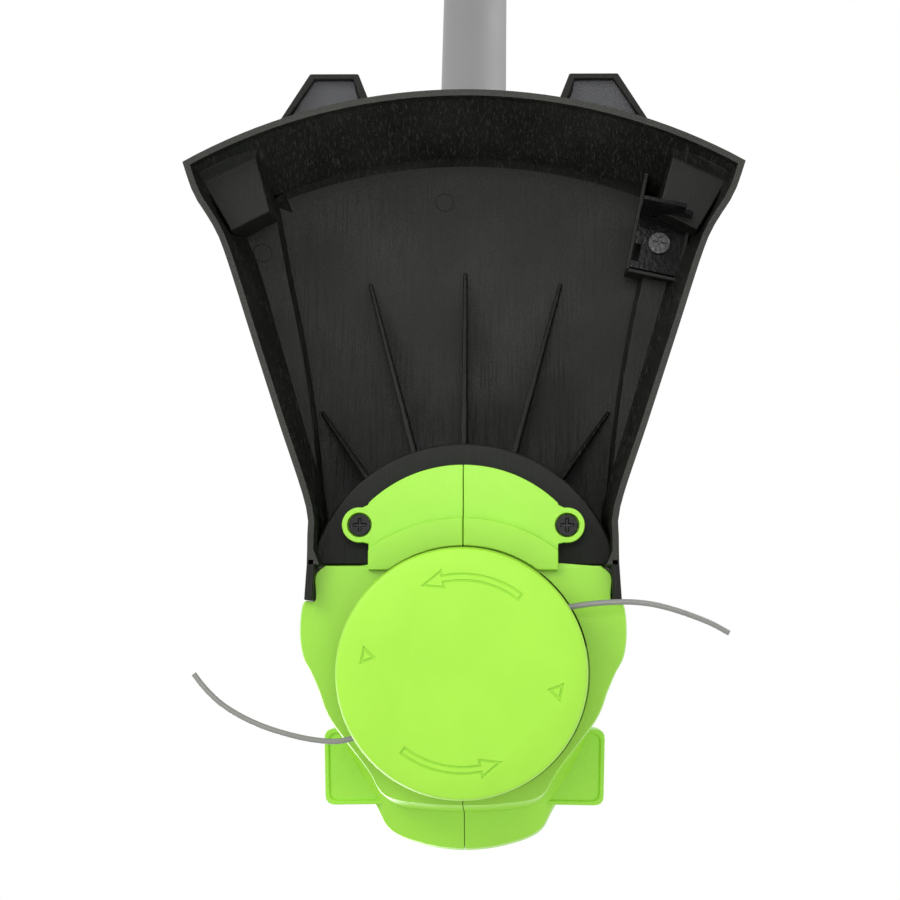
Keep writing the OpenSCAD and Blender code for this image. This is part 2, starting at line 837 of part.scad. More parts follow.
module lower_shaft() {
    color([0.6, 0.6, 0.62]) difference() {
        tube(tube_from + 0.2, coupler_s - 0.3);
        along_shaft(coupler_s + coupler_button_s) rotate([90, 0, 0])
            cylinder(r = button_r + run_fit, h = 40);
    }
}

module upper_shaft() {
    color([0.6, 0.6, 0.62]) tube(coupler_s + 0.3, handle_s + tube_in_handle);
}

module motor_lead() {
    into = tube_from + 4;
    bend = [
        [0, 12, lead_z + 0.2], [0, 13, lead_z + 3.7], [0, 17, lead_z + 5.2],
        [0, 22, lead_z + 3.7], [0, 26, lead_z - 0.3], [0, 29, lead_z - 5.3],
        [0, 33, lead_z - 11.3], [0, 38, lead_z - 16], [0, 43.5, lead_z - 18.1],
        [0, (into - 6) * cos(shaft_angle), axis_z + (into - 6) * sin(shaft_angle)],
        [0, into * cos(shaft_angle), axis_z + into * sin(shaft_angle)]
    ];
    color([0.1, 0.1, 0.1]) {
        swept(bend, lead_r - 0.1, 10, [1, 0, 0]);
        along_shaft(into - 3) cylinder(r = lead_r, h = handle_s + tube_in_handle + 7 - into);
    }
}

module coupler_body() {
    top = coupler_len / 2;
    color([0.15, 0.15, 0.15]) along_shaft(coupler_s) difference() {
        union() {
            translate([0, 0, -top]) cylinder(r = tube_r + 5, h = coupler_len);
            for (z = [-top, top - 8]) translate([0, 0, z]) cylinder(r = tube_r + 6.5, h = 8);
            translate([-coupler_ear_half, 0, coupler_bolt_s - 13])
                cube([2 * coupler_ear_half, coupler_bolt_y + 7, 26]);
            translate([-8, -tube_r - 8, coupler_button_s - 12]) cube([16, 20, 24]);
        }
        translate([0, 0, -top - 1]) cylinder(r = tube_r + seat_fit, h = coupler_len + 2);
        translate([-1, 0, coupler_bolt_s - 29]) cube([2, 80, coupler_len]);
        translate([0, coupler_bolt_y, coupler_bolt_s]) rotate([0, 90, 0])
            cylinder(r = bolt_r + run_fit, h = 60, center = true);
        translate([0, 0, coupler_button_s]) rotate([90, 0, 0])
            cylinder(r = button_r + run_fit, h = 40);
    }
}

module coupler_bolt() {
    color("silver") along_shaft(coupler_s + coupler_bolt_s)
        translate([-coupler_ear_half - 3.2, coupler_bolt_y, 0]) rotate([0, 90, 0]) {
            cylinder(r = bolt_r, h = 2 * coupler_ear_half + 3.2 + 15);
            cylinder(r = bolt_r + 2.4, h = 3.1, $fn = 6);
        }
}

module knob(r, h, lobes) {
    difference() {
        union() {
            cylinder(r = r, h = h);
            cylinder(r = bolt_r + 4.5, h = h + 2);
        }
        for (i = [0:lobes - 1]) rotate([0, 0, 360 * i / lobes]) translate([r + 2.2, 0, -1])
            cylinder(r = 4, h = h + 2, $fn = 24);
        translate([0, 0, -1]) cylinder(r = bolt_r + run_fit, h = h + 10);
    }
}

module coupler_knob() {
    color([0.13, 0.13, 0.13]) along_shaft(coupler_s + coupler_bolt_s)
        translate([coupler_ear_half + slide_gap, coupler_bolt_y, 0]) rotate([0, 90, 0])
            knob(coupler_knob_r, 12, 7);
}

module coupler_button() {
    flange_r = button_r + 1.5;
    flange_z = sqrt(pow(tube_r - tube_wall, 2) - pow(flange_r, 2)) - button_flange_t - 0.3;
    color("silver") along_shaft(coupler_s + coupler_button_s) rotate([90, 0, 0]) {
        translate([0, 0, flange_z]) cylinder(r = flange_r, h = button_flange_t);
        translate([0, 0, flange_z + 1])
            cylinder(r = button_r, h = tube_r + button_reach - flange_z - 1);
    }
}

module strap_bracket() {
    color("silver") along_shaft(handle_s - 40) difference() {
        union() {
            cylinder(r = tube_r + 2.4, h = 16);
            translate([-strap_t / 2, -strap_eye_y, 0]) cube([strap_t, 16, 16]);
            translate([0, -strap_eye_y, 8]) rotate([0, 90, 0])
                cylinder(r = 2 * strap_eye_r, h = strap_t, center = true);
        }
        translate([0, 0, -1]) cylinder(r = tube_r + seat_fit, h = 20);
        translate([0, -strap_eye_y, 8]) rotate([0, 90, 0])
            cylinder(r = strap_eye_r, h = 20, center = true);
    }
}

// ---- loop handle ----

module clamp_half_body(side) {
    intersection() {
        difference() {
            union() {
                translate([0, 0, -clamp_half]) linear_extrude(2 * clamp_half)
                    rounded_rect(2 * clamp_half_w, 2 * clamp_half_t, 5);
                for (x = [-1, 1]) translate([x * (lug_half + slide_gap + cheek_t / 2), 0, 0])
                    side_profile(cheek_t) hull() {
                        translate([-pivot_t, 0]) circle(pivot_r, $fn = 48);
                        translate([-tube_r, 0]) square([2, 2 * pivot_r + 6], center = true);
                    }
            }
            translate([0, 0, -clamp_half - 1])
                cylinder(r = tube_r + run_fit, h = 2 * clamp_half + 2);
            translate([0, -pivot_t, 0]) rotate([0, 90, 0])
                cylinder(r = bolt_r + run_fit, h = 80, center = true);
            translate([0, -pivot_t, 0]) rotate([0, 90, 0])
                cylinder(r = pivot_r + slide_gap, h = 2 * (lug_half + slide_gap), center = true);
            for (x = [-1, 1], z = [-1, 1]) translate([x * (tube_r + 6.5), 0, z * 11])
                rotate([90, 0, 0]) {
                    cylinder(r = shank_r + seat_fit, h = 32, center = true);
                    translate([0, 0, -tube_r - 8]) cylinder(r = screw_head_r + 0.3, h = 9);
                }
        }
        translate([-100, side > 0 ? 0.25 : -100.25, -100]) cube([200, 100, 200]);
    }
}

module clamp_upper() {
    color([0.14, 0.14, 0.14]) along_shaft(loop_s) clamp_half_body(-1);
}

module clamp_lower() {
    color([0.14, 0.14, 0.14]) along_shaft(loop_s) clamp_half_body(1);
}

module clamp_screws() {
    color("silver") along_shaft(loop_s) for (x = [-1, 1], z = [-1, 1])
        translate([x * (tube_r + 6.5), tube_r - 1, z * 11]) rotate([90, 0, 0])
            screw(tube_r + 10);
}

module loop_bolt() {
    reach = lug_half + slide_gap + cheek_t;
    color("silver") along_shaft(loop_s) translate([-reach - 0.1, -pivot_t, 0])
        rotate([0, 90, 0]) {
            cylinder(r = bolt_r, h = 2 * reach + 14);
            translate([0, 0, -3.4]) cylinder(r = bolt_r + 2.5, h = 3.4, $fn = 6);
        }
}

module loop_knob() {
    color([0.13, 0.13, 0.13]) along_shaft(loop_s)
        translate([lug_half + 2 * slide_gap + cheek_t, -pivot_t, 0]) rotate([0, 90, 0])
            knob(loop_knob_r, 11, 7);
}

module loop_corner_bend(x, t, turn) {
    translate([x, -t, 0]) rotate([0, 0, turn]) rotate_extrude(angle = 90)
        translate([loop_corner, 0]) circle(loop_bar_d / 2, $fn = 48);
}

module loop_frame() {
    half_w = loop_w / 2;
    low = loop_low_t;
    high = loop_low_t + loop_h;
    inner_w = loop_w - 2 * loop_corner;
    color([0.14, 0.14, 0.14]) along_shaft(loop_s) difference() {
        union() {
            for (t = [low, high]) translate([-inner_w / 2, -t, 0]) rotate([0, 90, 0])
                cylinder(d = loop_bar_d, h = inner_w, $fn = 48);
            for (x = [-1, 1]) {
                translate([x * half_w, -low - loop_corner, 0]) rotate([90, 0, 0])
                    cylinder(d = loop_bar_d, h = loop_h - 2 * loop_corner, $fn = 48);
            }
            loop_corner_bend(half_w - loop_corner, low + loop_corner, 0);
            loop_corner_bend(-half_w + loop_corner, low + loop_corner, 90);
            loop_corner_bend(-half_w + loop_corner, high - loop_corner, 180);
            loop_corner_bend(half_w - loop_corner, high - loop_corner, 270);
            translate([0, -pivot_t, 0]) rotate([0, 90, 0])
                cylinder(r = pivot_r, h = 2 * lug_half, center = true);
            translate([-lug_half, -low, -pivot_r + 1])
                cube([2 * lug_half, low - pivot_t, 2 * pivot_r - 2]);
        }
        translate([0, -pivot_t, 0]) rotate([0, 90, 0])
            cylinder(r = bolt_r + run_fit, h = 80, center = true);
    }
}

module loop_grip() {
    len = loop_w - 2 * loop_corner;
    color([0.1, 0.1, 0.1]) along_shaft(loop_s)
        translate([-len / 2, -loop_low_t - loop_h, 0]) rotate([0, 90, 0])
            ring_solid(loop_grip_d / 2, loop_bar_d / 2 + seat_fit, len);
}

// ---- rear handle ----

module bow_outline(inset, r) {
    offset(r = r, $fn = 32) offset(delta = -inset) polygon([
        [10, 40], [30, 44], [bow_low, grip_from + 24], [bow_low, grip_to - 30],
        [50, grip_to + 8], [10, grip_to + 8]
    ]);
}

module rear_outside() {
    cylinder(r = nose_r, h = nose_len + 2);
    side_profile(grip_w) offset(r = 6, $fn = 32) offset(delta = -6) polygon([
        [grip_top - 2, grip_from - 12], [grip_top, grip_from + 40], [grip_top - 2, grip_to - 20],
        [grip_top - 12, grip_to + 20], [grip_low + 20, grip_to + 20], [grip_low, grip_to - 30],
        [grip_low + 2, grip_from + 66], [grip_low, grip_from - 12]
    ]);
    side_profile(bay_w) offset(r = 8, $fn = 32) offset(delta = -8) polygon([
        [grip_top - 4, bay_from + 4], [bay_top, bay_from + 26], [bay_top, bay_to],
        [bay_low, bay_to], [bay_low, bay_from + 30], [grip_low + 10, bay_from + 4]
    ]);
}

// The bow that guards the trigger, seated between the nose and the battery bay
module finger_bow() {
    color([0.13, 0.13, 0.13]) at_rear() difference() {
        side_profile(bow_w) difference() {
            bow_outline(14, 14);
            bow_outline(bow_wall + 10, 10);
        }
        rear_outside();
    }
}

module rear_screw_places() {
    for (p = [[nose_r - 5.5, 52], [-16, grip_to - 18], [14, grip_to - 12], [-30, bay_from + 26]])
        translate([0, p[0], p[1]]) rotate([0, 90, 0]) children();
}

module rear_inside() {
    w = handle_wall;
    difference() {
        union() {
            side_profile(grip_w - 2 * w) polygon([
                [grip_top + w, grip_from + 4], [grip_top + w, grip_to + 10],
                [grip_low - w, grip_to + 10], [grip_low - w, grip_from + 4]
            ]);
            side_profile(bay_w - 2 * w) polygon([
                [grip_top + 8, bay_from + 8], [bay_top + w, bay_from + 30],
                [bay_top + w, bay_to - 8], [battery_top - 2 * w, bay_to - 8],
                [battery_top - 2 * w, bay_floor - w], [grip_low + 20, bay_floor - w],
                [grip_low + 4, bay_from + 8]
            ]);
        }
        rear_screw_places() cylinder(r = boss_r - 0.6, h = 100, center = true);
    }
}

module rear_body() {
    difference() {
        rear_outside();
        rear_inside();
        translate([0, 0, -1]) cylinder(r = tube_r + seat_fit, h = tube_in_handle + 1.3);
        cylinder(r = tube_r - 2, h = grip_from + 10);
        side_profile(2 * (battery_half + slide_gap)) polygon([
            [battery_top - slide_gap, bay_floor], [battery_top - slide_gap, bay_to + 10],
            [battery_low + slide_gap, bay_to + 10], [battery_low + slide_gap, bay_floor]
        ]);
        side_profile(trigger_w + 2 * slide_gap) polygon([
            [0, 76], [30, 76], [30, grip_from + 66], [0, grip_from + 66]
        ]);
        translate([-lock_size[0] / 2 - slide_gap, grip_top - 10, lock_at - slide_gap])
            cube([
                lock_size[0] + 2 * slide_gap, lock_size[1] + 3 + lock_travel,
                lock_size[2] + 2 * slide_gap
            ]);
        translate([0, trigger_pivot[0], trigger_pivot[1]]) rotate([0, 90, 0])
            cylinder(r = pin_r + seat_fit, h = grip_w - 4, center = true);
        translate([-15, 4, bay_floor - 12]) cube([30, 34, 14]);
        rear_screw_places() {
            cylinder(r = shank_r + seat_fit, h = 34, center = true);
            translate([0, 0, -76]) cylinder(r = screw_head_r + 0.3, h = 60);
        }
    }
}

module rear_shell_left() {
    color([0.15, 0.15, 0.15]) at_rear() intersection() {
        rear_body();
        translate([0, -200, -50]) cube([200, 400, 600]);
    }
}

module rear_shell_right() {
    color([0.15, 0.15, 0.15]) at_rear() intersection() {
        rear_body();
        translate([-200, -200, -50]) cube([200, 400, 600]);
    }
}

module rear_screws() {
    color("dimgray") at_rear() rear_screw_places() translate([0, 0, -16]) screw(30);
}

// Soft sleeve over the rear part of the grip
module soft_grip() {
    from = grip_from + 72;
    len = grip_len - 104;
    color([0.08, 0.08, 0.08]) at_rear(from) difference() {
        translate([0, (grip_top + grip_low) / 2 - 0.5, 0]) linear_extrude(len)
            rounded_rect(grip_w + 3, grip_low - grip_top + 7, 8);
        side_profile(grip_w + 2 * seat_fit) polygon([
            [grip_top - 2, -5], [grip_top - 2, len + 5], [grip_low + 2.2, len + 5],
            [grip_low + 2.2, -5]
        ]);
    }
}

module trigger() {
    color([0.7, 0.1, 0.1]) at_rear() difference() {
        side_profile(trigger_w) offset(r = 2, $fn = 24) offset(delta = -2) polygon([
            [8, 79], [19, 79], [27, 92], [33, 104], [34, 114], [28, 126], [20, 130], [8, 130]
        ]);
        translate([0, trigger_pivot[0], trigger_pivot[1]]) rotate([0, 90, 0])
            cylinder(r = pin_r + run_fit, h = 40, center = true);
    }
}

module trigger_pin() {
    color("silver") at_rear() translate([0, trigger_pivot[0], trigger_pivot[1]])
        rotate([0, 90, 0]) cylinder(r = pin_r, h = grip_w - 5, center = true);
}

module trigger_spring() {
    wire = 0.5;
    color("silver") at_rear(122) translate([0, 7.2, 0]) rotate([90, 0, 0])
        swept(coil_path(2.6, 1.5, 4), wire, 6);
}

module lock_off() {
    color([0.7, 0.1, 0.1]) at_rear(lock_at) difference() {
        translate([-lock_size[0] / 2, grip_top - 7, 0]) cube(lock_size);
        for (i = [0:3]) translate([-10, grip_top - 8, 4 + 5.4 * i]) cube([20, 1.8, 1.8]);
    }
}

module switch_body() {
    color([0.2, 0.2, 0.22]) at_rear(switch_at[1]) translate([-switch_size[0] / 2, switch_at[0], 0])
        cube(switch_size);
}

module control_board() {
    color("darkgreen") at_rear(bay_from + 34) translate([0, bay_top + handle_wall + 7, 0]) {
        translate([-30, 0, 0]) cube([60, 1.6, 70]);
        for (x = [-18, 6], z = [8, 40]) translate([x, 1.6, z]) cube([12, 5, 16]);
        for (x = [-14, 14]) translate([x, 0, 34]) rotate([90, 0, 0]) cylinder(r = 4, h = 6);
    }
}

module terminal_block() {
    color([0.1, 0.1, 0.1]) at_rear(bay_floor - 11.5) {
        translate([-14.5, 5, 0]) cube([29, 32, 11]);
        for (y = [12, 28]) translate([-8, y, 10]) cube([16, 1.2, 15]);
    }
}

module handle_leads() {
    x = grip_w / 2 - handle_wall - 4;
    start = tube_in_handle + 6;
    color("firebrick") at_rear() for (side = [-1, 1]) swept([
        [0.28 * side * x, 0, start], [0.5 * side * x, 0, start + 10], [side * x, -2, start + 24],
        [side * x, -3, grip_to - 40], [side * x, -3, grip_to - 6],
        [side * x, 2, bay_from + 16], [side * x, 10, bay_floor - 13]
    ], 1.6, 8, [0, 1, 0]);
}

// ---- battery ----

module battery_shape() {
    side_profile(2 * battery_half) polygon([
        [battery_top, bay_floor + slide_gap], [battery_top, bay_to + 1],
        [battery_low, bay_to + 1], [battery_low, bay_floor + slide_gap]
    ]);
}

module battery_case() {
    w = battery_wall;
    color([0.13, 0.13, 0.13]) at_rear() difference() {
        battery_shape();
        side_profile(2 * (battery_half - w)) polygon([
            [battery_top + w, bay_floor + slide_gap + w], [battery_top + w, bay_to + 2],
            [battery_low - w, bay_to + 2], [battery_low - w, bay_floor + slide_gap + w]
        ]);
        for (y = [12, 28]) translate([-9, y - 0.6, bay_floor - 1]) cube([18, 2.4, 18]);
    }
}

module battery_lid() {
    color("yellowgreen") at_rear(bay_to + 1) difference() {
        side_profile(bay_w) offset(r = 8, $fn = 32) offset(delta = -8) polygon([
            [bay_top, 0], [bay_top + 6, battery_out], [bay_low - 4, battery_out], [bay_low, 0]
        ]);
        translate([-battery_half + battery_wall, battery_top + battery_wall, -1]) cube([
            2 * (battery_half - battery_wall), battery_low - battery_top - 2 * battery_wall,
            battery_out - 4
        ]);
        translate([-13, bay_low - 14, 4]) cube([26, 20, 20]);
        translate([0, 0, battery_out - 8]) cylinder(r = 5 + slide_gap, h = 10);
        for (i = [0:3]) translate([-15 + 10 * i, -14, battery_out - 1.5])
            cylinder(r = 1.6, h = 4);
    }
}

module battery_cells() {
    color("royalblue") at_rear(bay_floor + 15) for (row = [0:2], col = [0:4])
        translate([
            -cell_len / 2, battery_top + battery_wall + (cell_d + 0.3) * (row + 0.5),
            (cell_d + 0.3) * (col + 0.5)
        ]) rotate([0, 90, 0]) cylinder(d = cell_d, h = cell_len);
}

module battery_latch() {
    color([0.1, 0.1, 0.1]) at_rear(bay_to + 5 + slide_gap) difference() {
        translate([-13 + slide_gap, bay_low - 8, 0])
            cube([26 - 2 * slide_gap, 9, 20 - 2 * slide_gap]);
        for (i = [0:2]) translate([-15, bay_low - 0.4, 3.6 + 5 * i]) cube([30, 4, 2]);
    }
}

module gauge_button() {
    color("silver") at_rear(bay_to + 1 + battery_out - 1.8) cylinder(r = 5, h = 3.6);
}

module gauge_lights() {
    color("lime") at_rear(bay_to + battery_out - 0.4) for (i = [0:3])
        translate([-15 + 10 * i, -14, 0]) cylinder(r = 1.5, h = 1.2);
}

head_shell_left();
head_shell_right();
shell_screws();
guard();
guard_screws();
line_cutter();
cutter_screw();
motor_can();
motor_end_bell();
field_magnets();
carbon_brushes();
motor_bearings();
motor_screws();
motor_shaft();
rotor();
commutator();
cooling_fan();
spool_base();
spool_cap();
line_eyelets();
retaining_nut();
reel_spring();
line_end_left();
line_end_right();
line_reel();
wound_line();
lower_shaft();
upper_shaft();
motor_lead();
coupler_body();
coupler_bolt();
coupler_knob();
coupler_button();
clamp_upper();
clamp_lower();
clamp_screws();
loop_bolt();
loop_knob();
loop_frame();
loop_grip();
strap_bracket();
rear_shell_left();
rear_shell_right();
finger_bow();
rear_screws();
soft_grip();
trigger();
trigger_pin();
trigger_spring();
lock_off();
switch_body();
control_board();
terminal_block();
handle_leads();
battery_case();
battery_lid();
battery_cells();
battery_latch();
gauge_button();
gauge_lights();
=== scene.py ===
# %% [markdown]
# A cordless string trimmer, seen from low in front of its cutting head. The packed
# model is the frame: it gives each part's true size and place, and how it moves.
# This lesson puts the finish of real plastic, steel, rubber and nylon on that frame,
# and models the green head shells, the black guard and the cut line anew.

# %% Load the frame
import json
import math

import bpy
import bmesh
from mathutils import Matrix, Vector

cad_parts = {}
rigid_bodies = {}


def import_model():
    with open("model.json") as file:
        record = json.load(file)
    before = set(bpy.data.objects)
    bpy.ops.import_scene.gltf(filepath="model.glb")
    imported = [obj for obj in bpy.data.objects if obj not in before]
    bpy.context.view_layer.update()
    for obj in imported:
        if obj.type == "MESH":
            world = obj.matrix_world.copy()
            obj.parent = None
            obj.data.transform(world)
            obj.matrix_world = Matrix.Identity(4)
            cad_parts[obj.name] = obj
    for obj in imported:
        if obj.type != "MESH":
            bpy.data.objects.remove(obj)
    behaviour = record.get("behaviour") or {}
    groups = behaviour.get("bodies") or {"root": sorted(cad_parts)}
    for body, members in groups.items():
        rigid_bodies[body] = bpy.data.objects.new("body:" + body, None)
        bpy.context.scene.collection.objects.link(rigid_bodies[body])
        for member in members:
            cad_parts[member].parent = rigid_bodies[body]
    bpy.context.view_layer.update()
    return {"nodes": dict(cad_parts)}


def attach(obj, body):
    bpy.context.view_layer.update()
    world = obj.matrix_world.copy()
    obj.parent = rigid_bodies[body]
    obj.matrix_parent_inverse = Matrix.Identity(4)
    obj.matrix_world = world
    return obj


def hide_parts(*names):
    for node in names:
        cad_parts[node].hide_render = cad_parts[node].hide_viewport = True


for leftover in list(bpy.data.objects):
    bpy.data.objects.remove(leftover)

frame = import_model()

# %% [markdown]
# The camera is set first, because what it sees decides where everything else needs
# care. It stands a metre under the spool and looks up, leaning 4 degrees towards the
# guard, with a long lens, so the round cap stays round and the shaft runs away behind
# it. It could be turned with three angles, but building it from the direction it
# looks in and the direction that is up on its picture needs no conversion.

# %% Camera
MM = 0.001
CAMERA_AT = (-0.0197, 0.0069, -0.996)
FOCAL_MM, SENSOR_MM = 116.2, 36
look = Vector((0.0238, 0.0698, 0.997)).normalized()
rear = Vector((0, 1, -0.0698))
up = (rear - look * rear.dot(look)).normalized()
right = look.cross(up)
lens = bpy.data.cameras.new("low_camera")
lens.lens, lens.sensor_width = FOCAL_MM, SENSOR_MM
lens.clip_start, lens.clip_end = 0.01, 200
camera = bpy.data.objects.new("low_camera", lens)
bpy.context.scene.collection.objects.link(camera)
camera.matrix_world = Matrix.Translation(CAMERA_AT) @ Matrix(
    (right, up, -look)).transposed().to_4x4()
bpy.context.scene.camera = camera
print("camera looks along", [round(v, 3) for v in look])

# %% [markdown]
# The two ends of cutting line are the trimmer's only loose pieces: stiff nylon that
# leaves an eyelet on each side of the spool and trails in a slow curve to a clean
# cut. A circle could be swept by hand, but a curve with a round bevel does that from
# the route alone, and its mesh is then kept.

# %% Cut line ends
LINE_R, LINE_Z = 1.0 * MM, 15
LINE_ROUTES = {
    "left": [
        (36, -22), (43, -23.6), (51, -23.2), (60, -21.4), (69, -18.6), (77, -15),
        (84, -10.6), (89.5, -5.4), (93.5, -0.4)],
    "right": [
        (-35, 22.6), (-42, 23.8), (-50, 24.6), (-58, 24.8), (-66, 24), (-74, 22),
        (-82, 19.2), (-87.5, 16.8), (-92.5, 14)],
}


def through(points, steps):
    """A smooth line through the points, with so many steps between two of them."""
    ends = [points[0], *points, points[-1]]
    line = []
    for a, b, c, d in zip(ends, ends[1:], ends[2:], ends[3:]):
        for k in range(steps):
            t = k / steps
            line.append([
                0.5 * (2 * q + (r - p) * t + (2 * p - 5 * q + 4 * r - s) * t * t
                       + (3 * q - p - 3 * r + s) * t ** 3)
                for p, q, r, s in zip(a, b, c, d)])
    return line + [list(points[-1])]


def line_end(side):
    """One loose end of cutting line: a round curve, kept as its mesh."""
    route = [Vector((x, y, LINE_Z)) * MM for x, y in through(LINE_ROUTES[side], 4)]
    curve = bpy.data.curves.new("line_path", "CURVE")
    curve.dimensions = "3D"
    curve.bevel_depth, curve.bevel_resolution = LINE_R, 5
    curve.use_fill_caps = True
    spline = curve.splines.new("POLY")
    spline.points.add(len(route) - 1)
    for point, at in zip(spline.points, route):
        point.co = (*at, 1)
    spline.use_smooth = True
    path = bpy.data.objects.new("line_path", curve)
    bpy.context.scene.collection.objects.link(path)
    graph = bpy.context.evaluated_depsgraph_get()
    piece = bpy.data.objects.new(
        "cut_line_" + side, bpy.data.meshes.new_from_object(path.evaluated_get(graph)))
    bpy.data.objects.remove(path)
    bpy.context.scene.collection.objects.link(piece)
    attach(piece, "spool_head")
    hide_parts("line_end_" + side)
    return piece


line_ends = [line_end(side) for side in LINE_ROUTES]

# %% [markdown]
# The trimmer is lit as on a studio sweep. A pale floor lies below the camera and
# throws light back up. A curved sheet could be floor and wall at once, but it would
# stand in the way from behind, and an even white world is the same from every side.

# %% Floor and world
FLOOR_Z, FLOOR_HALF = -1.6, 60


def plane(name, half, z):
    """A square sheet at a height."""
    mesh = bpy.data.meshes.new(name)
    mesh.from_pydata(
        [(-half, -half, z), (half, -half, z), (half, half, z), (-half, half, z)],
        [], [(0, 1, 2, 3)])
    sheet = bpy.data.objects.new(name, mesh)
    bpy.context.scene.collection.objects.link(sheet)
    return sheet


floor = plane("studio_floor", FLOOR_HALF, FLOOR_Z)
world = bpy.data.worlds.new("studio")
world.use_nodes = True
sky = world.node_tree.nodes["Background"]
sky.inputs["Color"].default_value = (1, 1, 1, 1)
sky.inputs["Strength"].default_value = 1.0
bpy.context.scene.world = world
bpy.context.scene.view_settings.view_transform = "Standard"
print("floor at", FLOOR_Z, "m")

# %% [markdown]
# A large soft light at the left models the round shapes and a weaker one at the right
# fills. A small narrow one under the guard lifts its roof, and two broad ones light
# the handle's end. Sun lamps would be simpler, but plastic shows a soft edge to its
# highlights, and only a lamp with a size gives that.

# %% Lights
NARROW = 0.7


def lamp(name, at, aim, size, watts):
    """A square soft light at one point, aimed at another."""
    data = bpy.data.lights.new(name, "AREA")
    data.size, data.energy = size, watts
    source = bpy.data.objects.new(name, data)
    bpy.context.scene.collection.objects.link(source)
    source.location = at
    source.rotation_euler = (Vector(aim) - Vector(at)).to_track_quat("-Z", "Y").to_euler()
    source.visible_camera = False
    return source


HEAD = (0, 0.05, 0)
lamp("key_left", (1.1, 0.9, -0.9), HEAD, 0.7, 12)
lamp("fill_right", (-1.2, -0.3, -0.9), HEAD, 1.0, 3)
glow = lamp("roof_glow", (0, 0.20, -0.40), (0, 0.13, 0.06), 0.15, 0.03)
glow.data.spread = NARROW
lamp("top_soft", (1.4, -1.2, 2.6), (0, 0.6, 0.4), 2.0, 60)
lamp("back_soft", (-1.8, 2.6, 2.0), (0, 0.7, 0.5), 2.0, 40)

# %% [markdown]
# Every finish is a small node tree, because moulded plastic, rubber and painted
# steel differ more in their surface than in their colour. Nodes could be placed and
# linked by hand, but a tree written in code stays readable when one short call makes
# a node, sets its values and links its inputs.

# %% Node helper
def node_set(name):
    """A new material with its tree, its shader and a helper that adds nodes."""
    made = bpy.data.materials.new(name)
    made.use_nodes = True
    tree = made.node_tree
    shader = tree.nodes["Principled BSDF"]

    def add(kind, links=(), **settings):
        node = tree.nodes.new(kind)
        for key, value in settings.items():
            if hasattr(node, key):
                setattr(node, key, value)
            else:
                node.inputs[key.replace("_", " ")].default_value = value
        for socket, source in dict(links).items():
            tree.links.new(source, node.inputs[socket])
        return node

    return made, tree, shader, add


# %% [markdown]
# The shared finish gives each material a fine grain in its bump, clouds in its gloss,
# a slight drift in its colour and long scuffs. Image textures would need unwrapping;
# noise in the part's own space does not, and it stays put when a part moves.

# %% Finish helper
SCUFF_SCALE, SCUFF_BAND, BUMP_DEPTH = 60.0, 0.12, 0.001
CLOUD_LOW, CLOUD_HIGH = 0.3, 0.7
MIX_A, MIX_B, MIX_OUT = 6, 7, 2


def finish(name, colour, gloss, grain=1600, grain_depth=0.01, drift=0.08, scuff=0.0,
           scuff_colour=None, metal=0.0, specular=0.5, coat=0.0, sheen=0.0, cloud=35,
           turn=(0.3, 0.2, 0.7), stretch=(1, 9, 5), worn_from=0.60):
    """A finish: base colour, (least, most) roughness, and how it is textured."""
    made, tree, shader, add = node_set(name)

    def ranged(source, low, high, least, most):
        node = add("ShaderNodeMapRange", {"Value": source.outputs["Fac"]})
        for socket, value in (("From Min", low), ("From Max", high),
                              ("To Min", least), ("To Max", most)):
            node.inputs[socket].default_value = value
        return node.outputs["Result"]

    place = add("ShaderNodeTexCoord").outputs["Object"]
    clouds = add("ShaderNodeTexNoise", {"Vector": place}, Scale=cloud, Detail=3.0)
    fine = add("ShaderNodeTexNoise", {"Vector": place}, Scale=grain, Detail=2.0)
    drawn = add("ShaderNodeMapping", {"Vector": place})
    drawn.inputs["Rotation"].default_value = turn
    drawn.inputs["Scale"].default_value = stretch
    marks = add("ShaderNodeTexNoise", {"Vector": drawn.outputs["Vector"]},
                Scale=SCUFF_SCALE, Detail=5.0, Roughness=0.75)
    worn = ranged(marks, worn_from, worn_from + SCUFF_BAND, 0.0, scuff)
    shade = ranged(clouds, CLOUD_LOW, CLOUD_HIGH, 1 - drift, 1 + drift)
    tint = add("ShaderNodeVectorMath", {"Scale": shade}, operation="SCALE")
    tint.inputs[0].default_value = colour
    blend = add("ShaderNodeMix", {"Factor": worn, MIX_A: tint.outputs["Vector"]},
                data_type="RGBA")
    blend.inputs[MIX_B].default_value = (*(scuff_colour or [min(1, 2.2 * c + 0.03)
                                                            for c in colour]), 1)
    tree.links.new(blend.outputs[MIX_OUT], shader.inputs["Base Color"])
    rough = ranged(clouds, CLOUD_LOW, CLOUD_HIGH, *gloss)
    duller = add("ShaderNodeMath", {0: rough, 1: worn}, operation="ADD", use_clamp=True)
    tree.links.new(duller.outputs["Value"], shader.inputs["Roughness"])
    bump = add("ShaderNodeBump", {"Height": fine.outputs["Fac"]}, Strength=grain_depth,
               Distance=BUMP_DEPTH)
    tree.links.new(bump.outputs["Normal"], shader.inputs["Normal"])
    for socket, value in (("Metallic", metal), ("Specular IOR Level", specular),
                          ("Coat Weight", coat), ("Sheen Weight", sheen)):
        shader.inputs[socket].default_value = value
    made.diffuse_color = (*colour, 1)
    print("finish", name, "base", colour)
    return made
